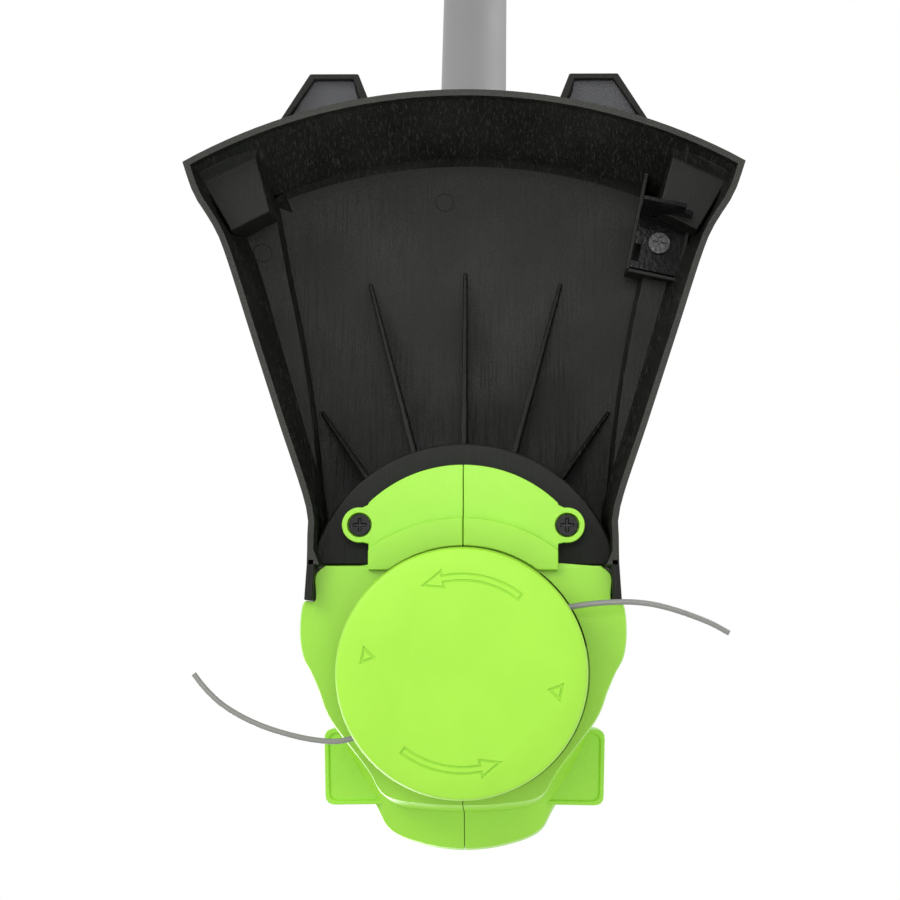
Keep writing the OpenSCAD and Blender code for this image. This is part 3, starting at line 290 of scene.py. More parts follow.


# %% [markdown]
# One finish for each material of the real trimmer. The shells are lime green ABS
# with a fine spark texture, and the cap is nearly the same green with a finer one.
# The guard is black polypropylene that grass and grit have brushed in long streaks,
# with a paler copy of the black on its lip faces. The webs in its tabs are painted
# paler, bluer and shinier, as painted light caught in the hollows. The shaft is steel
# tube with grey powder coat, the cutter is blackened spring steel, and the line is grey
# nylon. One shared black would be quicker, but each of these blacks shines in its own
# way.

# %% Finishes
FINISHES = {
    "shell_green": finish("lime_shell", (0.285, 0.625, 0.036), (0.34, 0.44), 2200, 0.10,
                          0.03, 0.03, (0.46, 0.76, 0.2)),
    "cap_green": finish("lime_cap", (0.31, 0.65, 0.042), (0.40, 0.50), 1800, 0.06,
                        0.03, 0.04, (0.45, 0.72, 0.2), specular=0.35),
    "guard_black": finish("scuffed_guard", (0.0072, 0.0079, 0.0062), (0.40, 0.56), 1500,
                          0.08, 0.35, 0.55, (0.042, 0.044, 0.039), specular=0.20,
                          turn=(0, 0, 0.05), stretch=(26, 0.8, 6), worn_from=0.53),
    # The lip's finish is a paler copy of the guard black, with scuffs; it goes only on
    # the flat lip faces.
    "guard_lip": finish("paler_scuffed_guard_lip", (0.022, 0.023, 0.019), (0.42, 0.6), 900, 0.3,
                        0.3, 0.5, (0.09, 0.09, 0.08), specular=0.3),
    # Painted light: the tab webs get a paler, bluer and shinier copy of the guard black,
    # standing in for light caught inside the tabs' hollows.
    "painted_lit_web": finish("painted_lit_web", (0.036, 0.037, 0.043), (0.4, 0.5), 1500, 0.1,
                        0.25, 0.3, (0.08, 0.08, 0.085), specular=0.5),
    "black_plastic": finish("black_nylon", (0.016, 0.016, 0.016), (0.40, 0.52), 1500,
                            0.2, 0.2, 0.12, (0.08, 0.08, 0.08)),
    "grip_rubber": finish("grip_rubber", (0.012, 0.012, 0.012), (0.62, 0.78), 1200,
                          0.35, 0.25, 0.06, (0.05, 0.05, 0.05), specular=0.35, sheen=0.1),
    "shaft_paint": finish("grey_powder_coat", (0.19, 0.187, 0.192), (0.42, 0.52), 2600,
                          0.35, 0.04, 0.05, (0.5, 0.5, 0.5)),
    "black_steel": finish("blackened_steel", (0.003, 0.003, 0.0035), (0.16, 0.26), 700,
                          0.06, 0.2, 0.1, (0.02, 0.02, 0.02), specular=0.35),
    "cutter_steel": finish("cutter_steel", (0.0015, 0.0015, 0.0018), (0.10, 0.18), 700,
                           0.05, 0.2, 0.2, (0.03, 0.03, 0.03), specular=0.08),
    "bright_steel": finish("bright_steel", (0.62, 0.62, 0.61), (0.22, 0.34), 1800,
                           0.05, 0.05, 0.1, (0.4, 0.4, 0.4), metal=1.0),
    "copper": finish("copper", (0.72, 0.34, 0.20), (0.25, 0.4), 1500, 0.05, 0.08, 0.1,
                     metal=1.0),
    "magnet_grey": finish("magnet_grey", (0.08, 0.08, 0.085), (0.5, 0.65), 2000, 0.2),
    "line_nylon": finish("line_nylon", (0.20, 0.20, 0.19), (0.22, 0.34), 1200, 0.1,
                         0.08, 0.1, specular=0.6),
    "lead_jacket": finish("lead_jacket", (0.03, 0.03, 0.03), (0.5, 0.6), 1500, 0.1),
    "board_green": finish("board_green", (0.02, 0.16, 0.06), (0.25, 0.35), 1200, 0.05),
    "cell_wrap": finish("cell_wrap", (0.05, 0.16, 0.45), (0.3, 0.4), 1200, 0.05),
    "lens_clear": finish("clear_lens", (0.55, 0.62, 0.55), (0.08, 0.16), 900, 0.02,
                         coat=0.5),
}
floor.data.materials.append(
    finish("studio_paper", (0.80, 0.80, 0.79), (0.75, 0.85), 30, 0.02, 0.01, cloud=1.5))
for piece in line_ends:
    piece.data.materials.append(FINISHES["line_nylon"])

# %% [markdown]
# The CAD parts have razor edges, which no moulded or stamped part has. The edges
# could be rounded in CAD, but a bevel modifier does it here without touching the
# part: faces that lie in one plane are merged first, so that the bevel meets clean
# edges, and hardened normals keep the flats flat and the rounds smooth.

# %% Softened edges and finishes on the CAD parts
def soften(part, radius, limit=32, steps=2, merge=1.0):
    """Rounds a CAD part's edges by a radius in mm and smooths its curved faces."""
    mesh = part.data
    if "custom_normal" in mesh.attributes:
        mesh.attributes.remove(mesh.attributes["custom_normal"])
    mesh.polygons.foreach_set("use_smooth", [True] * len(mesh.polygons))
    weld = part.modifiers.new("weld", "WELD")
    weld.merge_threshold = 1e-5
    flatten = part.modifiers.new("merge_flats", "DECIMATE")
    flatten.decimate_type, flatten.angle_limit = "DISSOLVE", math.radians(merge)
    bevel = part.modifiers.new("edge_round", "BEVEL")
    bevel.width, bevel.segments = radius * MM, steps
    bevel.limit_method, bevel.angle_limit = "ANGLE", math.radians(limit)
    bevel.harden_normals = True
    bevel.use_clamp_overlap = True


EDGE_RADIUS = {
    "soft_grip": 1.2, "loop_grip": 1.2, "battery_lid": 1.2, "battery_case": 0.8,
    "rear_shell_left": 0.9, "rear_shell_right": 0.9, "finger_bow": 1.6,
    "trigger": 1.0, "lock_off": 0.8, "coupler_body": 0.8, "clamp_upper": 0.8,
    "clamp_lower": 0.8, "loop_knob": 0.8, "coupler_knob": 0.8, "spool_cap": 0.5,
    "spool_base": 0.5, "line_cutter": 0.3, "head_shell_left": 0.6,
    "head_shell_right": 0.6, "guard": 0.5,
}
OWN_FINISH, SMALL_EDGE = {"line_cutter": "cutter_steel"}, 0.25
for name, part in frame["nodes"].items():
    slot_name = part.data.materials[0].name.split(".")[0]
    part.data.materials[0] = FINISHES[OWN_FINISH.get(name, slot_name)]
    soften(part, EDGE_RADIUS.get(name, SMALL_EDGE))
print("CAD parts finished:", len(frame["nodes"]))

# %% [markdown]
# Every new piece is built from a list of points and faces, rides on a body, and gets
# a small fillet. Pieces could be shaped from Blender's own cubes and rods, but points
# in millimetres keep the sizes of the real moulding in plain sight. The left and the
# right of the trimmer mirror each other, so one set of points serves both.

# %% Mesh helpers
SIDES = (("left", 1), ("right", -1))


def mesh_piece(name, points, faces, body, slot_name, *stands_for):
    """A mesh object from points in mm, on a body, with the finish of a slot."""
    mesh = bpy.data.meshes.new(name)
    mesh.from_pydata([tuple(c * MM for c in p) for p in points], [], faces)
    model = bmesh.new()
    model.from_mesh(mesh)
    bmesh.ops.remove_doubles(model, verts=model.verts, dist=1e-6)
    bmesh.ops.recalc_face_normals(model, faces=model.faces)
    model.to_mesh(mesh)
    model.free()
    mesh.materials.append(FINISHES[slot_name])
    mesh.polygons.foreach_set("use_smooth", [True] * len(mesh.polygons))
    piece = bpy.data.objects.new(name, mesh)
    bpy.context.scene.collection.objects.link(piece)
    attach(piece, body)
    if stands_for:
        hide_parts(*stands_for)
    return piece


def round_edges(piece, radius, limit=30, steps=3):
    """Fillets the sharp edges of a new piece by a radius in mm."""
    bevel = piece.modifiers.new("edge_round", "BEVEL")
    bevel.width, bevel.segments = radius * MM, steps
    bevel.limit_method, bevel.angle_limit = "ANGLE", math.radians(limit)
    bevel.harden_normals = True
    return piece


def arc(centre, radius, start, end, steps):
    """Points of an arc in x and y, angles in degrees from +X."""
    turns = [math.radians(start + (end - start) * k / steps) for k in range(steps + 1)]
    return [(centre[0] + radius * math.cos(t), centre[1] + radius * math.sin(t))
            for t in turns]


def mirrored(points, side):
    """The same points on the left (1) or the right (-1) of the middle plane."""
    return [(side * p[0], *p[1:]) for p in points]


# %% [markdown]
# The green head is two moulded shells that meet on the middle plane and are screwed
# together round the motor. Their sides are full curves, not facets, so they are
# lofted anew: the outline at each height is run through a smooth curve, and the
# outlines are joined by quads. A subdivided box would need its edges pinned by hand,
# while a loft keeps the flat lower face and the ledge exactly in place.

# %% Head outlines, half of each, from the front to the rear
SEAM, FACE_Z, REAR_Y = 0.14, 25, 37.4
LOW = [(0, -46), (14, -45.4), (27, -42.7), (33.5, -33), (46, -16.6), (50.4, -6), (53, 0),
       (56, 6), (57, 15), (55.8, 24.4), (51.8, 25.4), (51.8, 34), (48.3, REAR_Y)]
MIDDLE = [(0, -50), (14, -49.4), (25, -47), (33, -38), (44, -20), (48, -8), (49.5, 0),
          (50.3, 6), (50.5, 15), (50.5, 22), (50, 25.4), (50, 34), (46.5, REAR_Y)]
WIDE = [(0, -64), (14, -62.4), (26.6, -57.6), (32.4, -48.4), (43, -30), (46, -15),
        (48, -5), (49, 4), (49, 13), (49, 20), (49, 25.4), (48.5, 34), (45, REAR_Y)]


def outline_curve(half, z, by=0.0):
    """A smooth half outline at a height, drawn in towards the axis by some mm."""
    front = [(-x, y) for x, y in half[1:2]] + half
    line = through(front, 6)[6:]
    ring = []
    for x, y in line:
        keep = 1 + by / math.hypot(x, y)
        ring.append((max(x * keep, SEAM), y * keep, z))
    ring[0] = (SEAM, ring[0][1], z)
    return ring + [(SEAM, ring[-1][1], z)]


LOFT = [(LOW, 0, 0.0), (LOW, 2.2, 0.5), (MIDDLE, 28.2, 0.0), (WIDE, 32.6, -0.9),
        (WIDE, 36, 0.0), (WIDE, 68, -2), (WIDE, 78, -5.5), (WIDE, 84, -11),
        (WIDE, 88, -20)]
LEVELS = [outline_curve(half, FACE_Z + rise, by) for half, rise, by in LOFT]
print("head shell loft:", len(LEVELS), "outlines of", len(LEVELS[0]), "points")

# %% [markdown]
# Each shell is that loft, closed at its top, with a flat lower face that leaves a
# round hole for the spool. The face could be cut by a boolean, but one many-sided
# face between the outline and the hole is exact, and the solidify modifier then
# gives the whole skin the wall of a real moulding.

# %% Head shells
SHELL_WALL = 2.4
HOLE_R, HOLE_REAR, HOLE_LIP = 44.5, 57.2, 6


def head_shell(name, side):
    """One head shell: lofted wall, flat lower face round the spool, closed top."""
    count = len(LEVELS[0])
    points = [p for ring in LEVELS for p in ring]
    faces = [(k * count + i, k * count + i + 1, (k + 1) * count + i + 1,
              (k + 1) * count + i)
             for k in range(len(LEVELS) - 1) for i in range(count - 1)]
    faces.append(tuple(range((len(LEVELS) - 1) * count, len(LEVELS) * count)))
    hole = arc((0, 0), HOLE_R, HOLE_REAR, -90, 40)
    hole[-1] = (SEAM, hole[-1][1])
    start = len(points)
    points += [(x, y, z) for z in (FACE_Z, FACE_Z + HOLE_LIP) for x, y in hole]
    faces.append(tuple(range(count - 1)) + tuple(range(start, start + len(hole))))
    faces += [(start + i, start + i + 1, start + len(hole) + i + 1, start + len(hole) + i)
              for i in range(len(hole) - 1)]
    piece = mesh_piece(name, mirrored(points, side), faces, "root", "shell_green",
                       "head_" + name)
    wall = piece.modifiers.new("wall", "SOLIDIFY")
    wall.thickness, wall.offset = SHELL_WALL * MM, -1
    return piece


shells = {side: head_shell("shell_" + word, side) for word, side in SIDES}
print("head shells:", len(shells))

# %% [markdown]
# Holes in a moulding are real holes in a real wall, so they are cut with a boolean
# after the wall has its thickness. Faces could be deleted by hand, but a boolean
# leaves the thickness of the wall showing inside the hole, as it does on the part.

# %% Tools that cut holes
def add_box(model, low, high):
    """Adds a box between two corners in mm to a cutting tool."""
    made = bmesh.ops.create_cube(model, size=1)
    low, high = Vector(low) * MM, Vector(high) * MM
    for v in made["verts"]:
        v.co = (low + high) / 2 + Vector(a * b for a, b in zip(v.co, high - low))


def add_rod(model, at, radius, length, segments, lies=False):
    """Adds a rod in mm to a cutting tool, upright or lying along X."""
    made = bmesh.ops.create_cone(model, cap_ends=True, segments=segments,
                                 radius1=radius * MM, radius2=radius * MM,
                                 depth=length * MM)
    if lies:
        bmesh.ops.rotate(model, verts=made["verts"],
                         matrix=Matrix.Rotation(math.pi / 2, 3, "Y"))
    bmesh.ops.translate(model, verts=made["verts"], vec=Vector(at) * MM)


def cut_with(piece, model):
    """Cuts a tool out of a piece and applies everything to it so far."""
    mesh = bpy.data.meshes.new("tool")
    model.to_mesh(mesh)
    model.free()
    tool = bpy.data.objects.new("tool", mesh)
    bpy.context.scene.collection.objects.link(tool)
    cut = piece.modifiers.new("cut", "BOOLEAN")
    cut.operation, cut.solver, cut.object = "DIFFERENCE", "EXACT", tool
    graph = bpy.context.evaluated_depsgraph_get()
    result = bpy.data.meshes.new_from_object(piece.evaluated_get(graph))
    piece.modifiers.clear()
    piece.data = result
    result.polygons.foreach_set("use_smooth", [True] * len(result.polygons))
    bpy.data.objects.remove(tool)


# %% [markdown]
# The motor breathes through six slots in each shell's side, and screws sit in deep
# round pockets on the right. They could be painted dark, but a cut slot catches the
# light on its edge, and the bevel that follows gives it a moulding's small radius.

# %% Vents, screw pockets and softened shell edges
POCKETS = [(-46, 72), (30.5, 50), (-20, 102)]
VENT_FRONT, VENT_STEP, VENT_WIDTH, VENT_LOW, VENT_HIGH = -12, 6, 2.4, 64, 78
for side, piece in shells.items():
    tool = bmesh.new()
    near, far = sorted((20 * side, 80 * side))
    for i in range(6):
        front = VENT_FRONT + VENT_STEP * i
        add_box(tool, (near, front, VENT_LOW), (far, front + VENT_WIDTH, VENT_HIGH))
    for y, z in POCKETS if side < 0 else ():
        add_rod(tool, (-50, y, z), 3.5, 60, 32, lies=True)
    cut_with(piece, tool)
    round_edges(piece, 0.7, 28)
    print(piece.name, "faces after cutting:", len(piece.data.polygons))

# %% [markdown]
# A flat green collar carries the guard. It has a round rear edge and an ear on each
# side with a sunken screw, and a thinner step runs round the spool in front of it.
# A box with bevels could stand in for it, but an outline that is drawn once and
# extruded gives the round ears their true shape.

# %% Collar, ears and the step round the spool
COLLAR_HALF, COLLAR_LOW, COLLAR_HIGH = 33.4, 26, 32.6
EAR, EAR_R, EAR_HOLE_R = (36.6, 52.0), 6.2, 4.3
STEP_R, STEP_FLOOR, STEP_TOP = 54.5, 22.5, 27


def extruded(outline, low, high):
    """Points and faces of an outline in x and y, closed between two heights."""
    n = len(outline)
    points = [(x, y, low) for x, y in outline] + [(x, y, high) for x, y in outline]
    sides = [(i, (i + 1) % n, n + (i + 1) % n, n + i) for i in range(n)]
    return points, [tuple(range(n))[::-1], tuple(range(n, 2 * n)), *sides]


def collar_outline():
    """Half of the collar from its rear middle round the ear to the shells."""
    start = math.degrees(math.atan2(34.48, COLLAR_HALF))
    edge = arc((0, 25.3), 48, 90, start, 16)
    edge[0] = (SEAM, edge[0][1])
    return edge + [(COLLAR_HALF, 59.2), *arc(EAR, EAR_R, 100, -100, 20),
                   (COLLAR_HALF, 45.4), (COLLAR_HALF, 35), (SEAM, 35)]


def step_outline():
    """Half of the thin step between the collar and the spool."""
    edge = arc((0, 0), STEP_R, 90, math.degrees(math.acos(COLLAR_HALF / STEP_R)), 12)
    inner = arc((0, 0), HOLE_R, HOLE_REAR, 90, 10)
    edge[0], inner[-1] = (SEAM, edge[0][1]), (SEAM, inner[-1][1])
    return [*edge, (COLLAR_HALF, 36), (26, 36), *inner]


for word, side in SIDES:
    points, faces = extruded(collar_outline(), COLLAR_LOW, COLLAR_HIGH)
    collar = mesh_piece("collar_" + word, mirrored(points, side), faces, "root",
                        "shell_green")
    tool = bmesh.new()
    add_rod(tool, (side * EAR[0], EAR[1], 25.4), EAR_HOLE_R, 8, 48)
    cut_with(collar, tool)
    round_edges(collar, 0.6, 35)
    points, faces = extruded(step_outline(), STEP_FLOOR, STEP_TOP)
    round_edges(mesh_piece("spool_step_" + word, mirrored(points, side), faces, "root",
                           "shell_green"), 0.5, 35)
print("collar thickness in mm:", round(COLLAR_HIGH - COLLAR_LOW, 1))

# %% [markdown]
# A block stands out on each side of the head, low at the front, where the shells
# are thickened for their front screws. Its edges are well rounded and its lower
# face has a shallow sunken panel. A second modifier could press that panel in, but
# an inset loop of the outline gives it with four more faces a corner.

# %% Side blocks
BLOCK = [(22, -20), (22, -47.2), (50.0, -47.6), (50.6, -20.4)]
BLOCK_TOP, BLOCK_FACE, PANEL_Z = 90, 55.2, 55.9
CORNER_R, HIDDEN_R, OUTER_X = 3.4, 0.5, 30


def rounded(corners):
    """The outline with each corner drawn as a short curve."""
    made = []
    for k, at in enumerate(corners):
        corner = Vector(at)
        reach = CORNER_R if at[0] > OUTER_X else HIDDEN_R
        a = corner + (Vector(corners[k - 1]) - corner).normalized() * reach
        c = corner + (Vector(corners[(k + 1) % 4]) - corner).normalized() * reach
        made += [tuple(a * (1 - t) ** 2 + corner * 2 * t * (1 - t) + c * t * t)
                 for t in (0, 0.25, 0.5, 0.75, 1)]
    return made


outer, middle = rounded(BLOCK), Vector((36, -34))
n = len(outer)
panel, sunk = ([tuple(middle + (Vector(p) - middle) * share) for p in outer]
               for share in (0.90, 0.87))
points = [(*p, z) for ring, z in ((outer, BLOCK_TOP), (outer, BLOCK_FACE),
                                  (panel, BLOCK_FACE), (sunk, PANEL_Z)) for p in ring]
faces = [(k * n + i, k * n + (i + 1) % n, (k + 1) * n + (i + 1) % n, (k + 1) * n + i)
         for k in range(3) for i in range(n)]
faces += [tuple(range(n)), tuple(range(3 * n, 4 * n))]
for word, side in SIDES:
    round_edges(mesh_piece("side_block_" + word, mirrored(points, side), faces, "root",
                           "shell_green"), 0.7, 35)
print("side block outline:", n, "points")

# %% [markdown]
# The shaft enters the head through a split socket, closed by two clamp screws. Each
# half is a half tube laid along the shaft, with a boss for a screw above and below.
# A tilted rod could be cut in two, but points placed along the shaft's own line need
# no cutting, and the socket stays true to the shaft.

# %% Shaft socket
SLOPE = math.radians(40)
AXIS_Z, SOCKET_BORE = 38, 14.1
SOCKET = [(84, 19.3), (126, 19.3), (128, 20.1), (131, 20.1)]
BOSS_ALONG, BOSS_UNDER, BOSS_R, BOSS_REACH = 118, 18.8, 6, 11.8


def on_shaft(along, under, x):
    """A point at a distance along the shaft, below its axis, and to the left."""
    return (x, along * math.cos(SLOPE) + under * math.sin(SLOPE),
            AXIS_Z + along * math.sin(SLOPE) - under * math.cos(SLOPE))


def half_tube(spans, inner, side):
    """Half a tube with these (distance, radius) spans, open towards the seam."""
    steps = 28
    points, faces = [], []
    for along, radius in spans:
        for r in (radius, inner):
            for k in range(steps + 1):
                a = math.pi * k / steps
                points.append(on_shaft(along, -r * math.cos(a),
                                       side * max(r * math.sin(a), SEAM)))
    row = 2 * (steps + 1)
    for s in range(len(spans) - 1):
        for k in range(steps):
            a, b = s * row + k, (s + 1) * row + k
            faces += [(a, a + 1, b + 1, b),
                      (a + steps + 1, b + steps + 1, b + steps + 2, a + steps + 2)]
        for k in (0, steps):
            a, b = s * row + k, (s + 1) * row + k
            faces.append((a, b, b + steps + 1, a + steps + 1))
    for s in (0, len(spans) - 1):
        faces += [(s * row + k, s * row + k + 1, s * row + steps + 2 + k,
                   s * row + steps + 1 + k) for k in range(steps)]
    return points, faces


for word, side in SIDES:
    points, faces = half_tube(SOCKET, SOCKET_BORE, side)
    round_edges(mesh_piece("socket_" + word, points, faces, "root", "shell_green"), 0.6)
    for tag, under in (("low", BOSS_UNDER), ("high", -BOSS_UNDER)):
        ring = [(BOSS_R * math.cos(math.radians(a)), BOSS_R * math.sin(math.radians(a)))
                for a in range(0, 360, 15)]
        n = len(ring)
        points = [on_shaft(BOSS_ALONG + a, under + b, side * x)
                  for x in (SEAM, BOSS_REACH) for a, b in ring]
        faces = [(i, (i + 1) % n, n + (i + 1) % n, n + i) for i in range(n)]
        faces += [tuple(range(n)), tuple(range(n, 2 * n))]
        round_edges(mesh_piece("clamp_boss_" + tag + "_" + word, points, faces, "root",
                               "shell_green"), 0.8)

# %% [markdown]
# The guard is one black moulding: a wall round a flat roof, with a lower channel
# along each side. Three outlines give its shape, from the front of each side to the
# middle of the rim: the lip, the top of the wall, and the step from the channel up to
# the roof. They could be sculpted, but outlines keep the two sides of the guard equal.

# %% Guard outlines
SIDE_LOW = [(54.7, 38), (54.6, 46.3), (55.2, 58.6), (65, 88.5), (74.6, 118),
            (84.2, 147.7), (88.8, 158.2), (95.4, 168.7), (99.5, 180.3)]
SIDE_HIGH = [(54.2, 38), (53.9, 46.3), (53.2, 58.6), (61.6, 88), (70, 117), (78.5, 146),
             (81.5, 153), (84, 160), (85.2, 167.4)]
STEP = [(49.2, 38), (51.6, 61.8), (55.2, 95.7), (59.2, 120.6), (64.0, 144), (69.0, 170.6)]
RIM_LOW, RIM_HALF = 206.0, 28.9
WALL_TOP, WALL_HALF = 188.0, 26.8
STEP_RIM, STEP_HALF = 184.6, 21.9
SIDE_COLUMNS, RIM_COLUMNS = 30, 18


def resample(points, count):
    """A smooth line through the points, cut into equal steps."""
    line = through(points, 12)
    far = [0.0]
    for a, b in zip(line, line[1:]):
        far.append(far[-1] + math.dist(a, b))
    made, k = [], 0
    for i in range(count + 1):
        want = far[-1] * i / count
        while k < len(line) - 2 and far[k + 1] < want:
            k += 1
        t = (want - far[k]) / max(far[k + 1] - far[k], 1e-9)
        made.append(tuple(p + (q - p) * t for p, q in zip(line[k], line[k + 1])))
    return made


def rim_arc(radius, half_angle):
    """The rim from just after the corner to the middle plane."""
    return [(radius * math.sin(math.radians(half_angle * (1 - k / RIM_COLUMNS))),
             radius * math.cos(math.radians(half_angle * (1 - k / RIM_COLUMNS))))
            for k in range(1, RIM_COLUMNS + 1)]


low = resample(SIDE_LOW, SIDE_COLUMNS) + rim_arc(RIM_LOW, RIM_HALF)
high = resample(SIDE_HIGH, SIDE_COLUMNS) + rim_arc(WALL_TOP, WALL_HALF)
step = resample(STEP, SIDE_COLUMNS) + rim_arc(STEP_RIM, STEP_HALF)
print("guard outlines:", len(low), "columns each")

# %% [markdown]
# The skin is drawn row by row from those outlines: across the lip, up the wall, along
# the channel and up the step. A bevel could round the crease between rim and roof,
# but it would be too sharp, so the rim bends into the roof over several rows.

# %% Rows of the guard's skin
LIP, WALL = 2.2, 2.7
LIP_Z, CHANNEL_Z, ROOF_Z = 20.0, 52.0, 62.0


def inset(line, by):
    """The line moved towards the inside of the guard."""
    made = []
    for i, (x, y) in enumerate(line):
        a = Vector(line[i]) - Vector(line[max(i - 1, 0)])
        b = Vector(line[min(i + 1, len(line) - 1)]) - Vector(line[i])
        a, b = (a or b).normalized(), (b or a).normalized()
        side = Vector((-a.y - b.y, a.x + b.x)).normalized()
        reach = by / max(0.5, side.dot(Vector((-a.y, a.x))))
        made.append((x + side.x * reach, y + side.y * reach))
    made[-1] = (0.0, made[-1][1])
    return made


def blended(side_value, rim_value):
    """A value for each column: one along the side, another along the rim."""
    return [side_value] * (SIDE_COLUMNS + 1) + [rim_value] * RIM_COLUMNS


def mixed(a, b, share):
    """A row part of the way from one row to another."""
    return [tuple(p + (q - p) * share for p, q in zip(u, v)) for u, v in zip(a, b)]


def level(line, side_z, rim_z, rim_out=0.0):
    """A row of the guard's skin, with the rim pushed out or in by some mm."""
    made = []
    for (x, y), z, out in zip(line, blended(side_z, rim_z), blended(0, rim_out)):
        grow = 1 + out / math.hypot(x, y)
        made.append((x * grow, y * grow, z))
    return made


rows = [level(low, LIP_Z, LIP_Z), level(inset(low, LIP), LIP_Z, LIP_Z),
        level(inset(low, LIP + 0.6), 24.0, 24.0),
        level(inset(mixed(low, high, 0.5), LIP), 37.0, 36.0, 1.2),
        level(inset(high, WALL + 0.2), 50.0, 47.0, 4.2),
        level(inset(high, WALL + 0.9), CHANNEL_Z, 53.0, 2.4),
        level(inset(step, -0.8), CHANNEL_Z, 57.6, 2.4),
        level(inset(step, -0.3), 53.0, 60.4, 0.2),
        level(inset(step, 0.6), ROOF_Z, ROOF_Z, -4.0)]
print("guard skin:", len(rows), "rows of", len(rows[0]), "columns")

# %% [markdown]
# The rows are joined by quads on both sides, and one flat face closes the roof. Only
# the side that is seen from below is drawn. The outside could be drawn too, but a
# solidify modifier gives the wall an even thickness, as the mould does.

# %% Guard skin
GUARD_WALL = 2.4


def guard_skin():
    """The wall, channel and roof as one solidified skin."""
    count, points, faces = len(rows[0]), [], []
    for side in (1, -1):
        start = len(points)
        points += [(side * x, y, z) for row in rows for x, y, z in row]
        faces += [(start + k * count + i, start + k * count + i + 1,
                   start + (k + 1) * count + i + 1, start + (k + 1) * count + i)
                  for k in range(len(rows) - 1) for i in range(count - 1)]
    last = (len(rows) - 1) * count
    half = len(rows) * count
    faces.append(tuple(last + i for i in range(count))
                 + tuple(half + last + i for i in range(count - 2, -1, -1)))
    piece = mesh_piece("guard_skin", points, faces, "root", "guard_black", "guard")
    if max(piece.data.polygons, key=lambda f: f.area).normal.z > 0:
        piece.data.flip_normals()
    # The flat lip faces take the paler copy of the black.
    piece.data.materials.append(FINISHES["guard_lip"])
    for face in piece.data.polygons:
        heights = [piece.data.vertices[v].co.z for v in face.vertices]
        if all(abs(z - LIP_Z * MM) < 1e-5 for z in heights):
            face.material_index = 1
    wall = piece.modifiers.new("wall", "SOLIDIFY")
    wall.thickness, wall.offset = GUARD_WALL * MM, -1
    return round_edges(piece, 0.7, 22)


print("guard faces:", len(guard_skin().data.polygons))

# %% [markdown]
# The front of each side runs on as a thin leg beside the head. A leg leans a little,
# so it can't be a plain extrusion: it is a solid between a low and a high outline, and
# the cutter's frame and the tabs are made the same way later.

# %% Legs
LEG_LOW = [(55.6, 25.4), (54.6, 40), (51.8, 40), (52.6, 25.4)]
LEG_HIGH = [(54.9, 25.4), (54.0, 40), (51.4, 40), (52.0, 25.4)]
LEG_TOP_Z = 54


def prism(name, low_outline, low_z, high_outline, high_z, radius=0.5):
    """A closed solid of the guard between two outlines with as many points."""
    n = len(low_outline)
    points = ([(x, y, low_z) for x, y in low_outline]
              + [(x, y, high_z) for x, y in high_outline])
    faces = [tuple(range(n))[::-1], tuple(range(n, 2 * n))]
    faces += [(i, (i + 1) % n, n + (i + 1) % n, n + i) for i in range(n)]
    return round_edges(mesh_piece(name, points, faces, "root", "guard_black"), radius, 30)


for word, side in SIDES:
    prism("guard_leg_" + word, mirrored(LEG_LOW, side), LIP_Z,
          mirrored(LEG_HIGH, side), LEG_TOP_Z)
print("guard legs:", len(SIDES))

# %% [markdown]
# Behind the head the roof drops to a round land, where the collar is screwed on. The
# drop is a curved wall round the head, and the land closes it below. A cut tube would
# give the wall but not the land, so both are drawn from the same two arcs.

# %% Neck and land
NECK_AT = (0, 25.3)
NECK_R, NECK_IN_R, NECK_HALF, NECK_IN_HALF = 56, 53, 52.5, 49.8
NECK_TOP, LAND_LOW, LAND_HIGH = 63.0, 33.6, 36.2


def kept(line, half):
    """The line with its points kept within a half width."""
    return [(max(-half, min(half, x)), y) for x, y in line]


neck_arc = kept(arc(NECK_AT, NECK_R, 13, 167, 48), NECK_HALF)
neck_in = kept(arc(NECK_AT, NECK_IN_R, 14, 166, 48), NECK_IN_HALF)
n = len(neck_arc)
neck_points = [(x, y, z) for line, z in ((neck_arc, NECK_TOP), (neck_arc, LAND_LOW),
                                         (neck_in, LAND_HIGH), (neck_in, NECK_TOP))
               for x, y in line]
neck_faces = [(k * n + i, k * n + i + 1, ((k + 1) % 4) * n + i + 1, ((k + 1) % 4) * n + i)
              for k in (0, 2, 3) for i in range(n - 1)]
neck_faces += [tuple(range(n, 2 * n)), tuple(range(2 * n, 3 * n))]
neck_faces += [(0, n, 2 * n, 3 * n), (n - 1, 2 * n - 1, 3 * n - 1, 4 * n - 1)]
neck_faces += [(n, 2 * n - 1, 3 * n - 1, 2 * n)]
round_edges(mesh_piece("guard_neck", neck_points, neck_faces, "root", "guard_black"), 0.9)
print("land is", round(NECK_TOP - LAND_LOW, 1), "mm under the top of the neck")

# %% [markdown]
# Five ribs brace that drop and run out to nothing on the roof. They could be pulled
# out of the roof's own mesh, but they are separate solids that run into it, which
# keeps their thin edges straight.

# %% Ribs
RIB_LOW, RIB_TIP, RIB_ROOT = 34.6, 61.2, 0.35


def rib(name, start, end):
    """A tapered fin from the neck down to nothing on the roof."""
    along = (Vector(end) - Vector(start)).normalized()
    across = Vector((-along.y, along.x))
    points = []
    for at, bottom, half in ((start, RIB_LOW, 0.85), (end, RIB_TIP, 0.55)):
        for z, thick in ((bottom, half), (NECK_TOP, half + RIB_ROOT)):
            for s in (-1, 1):
                points.append((at[0] + s * across.x * thick,
                               at[1] + s * across.y * thick, z))
    faces = [(0, 1, 3, 2), (4, 6, 7, 5), (0, 4, 5, 1), (2, 3, 7, 6), (0, 2, 6, 4),
             (1, 5, 7, 3)]
    fin = mesh_piece(name, points, faces, "root", "guard_black")
    return round_edges(fin, 0.35, 30, 2)


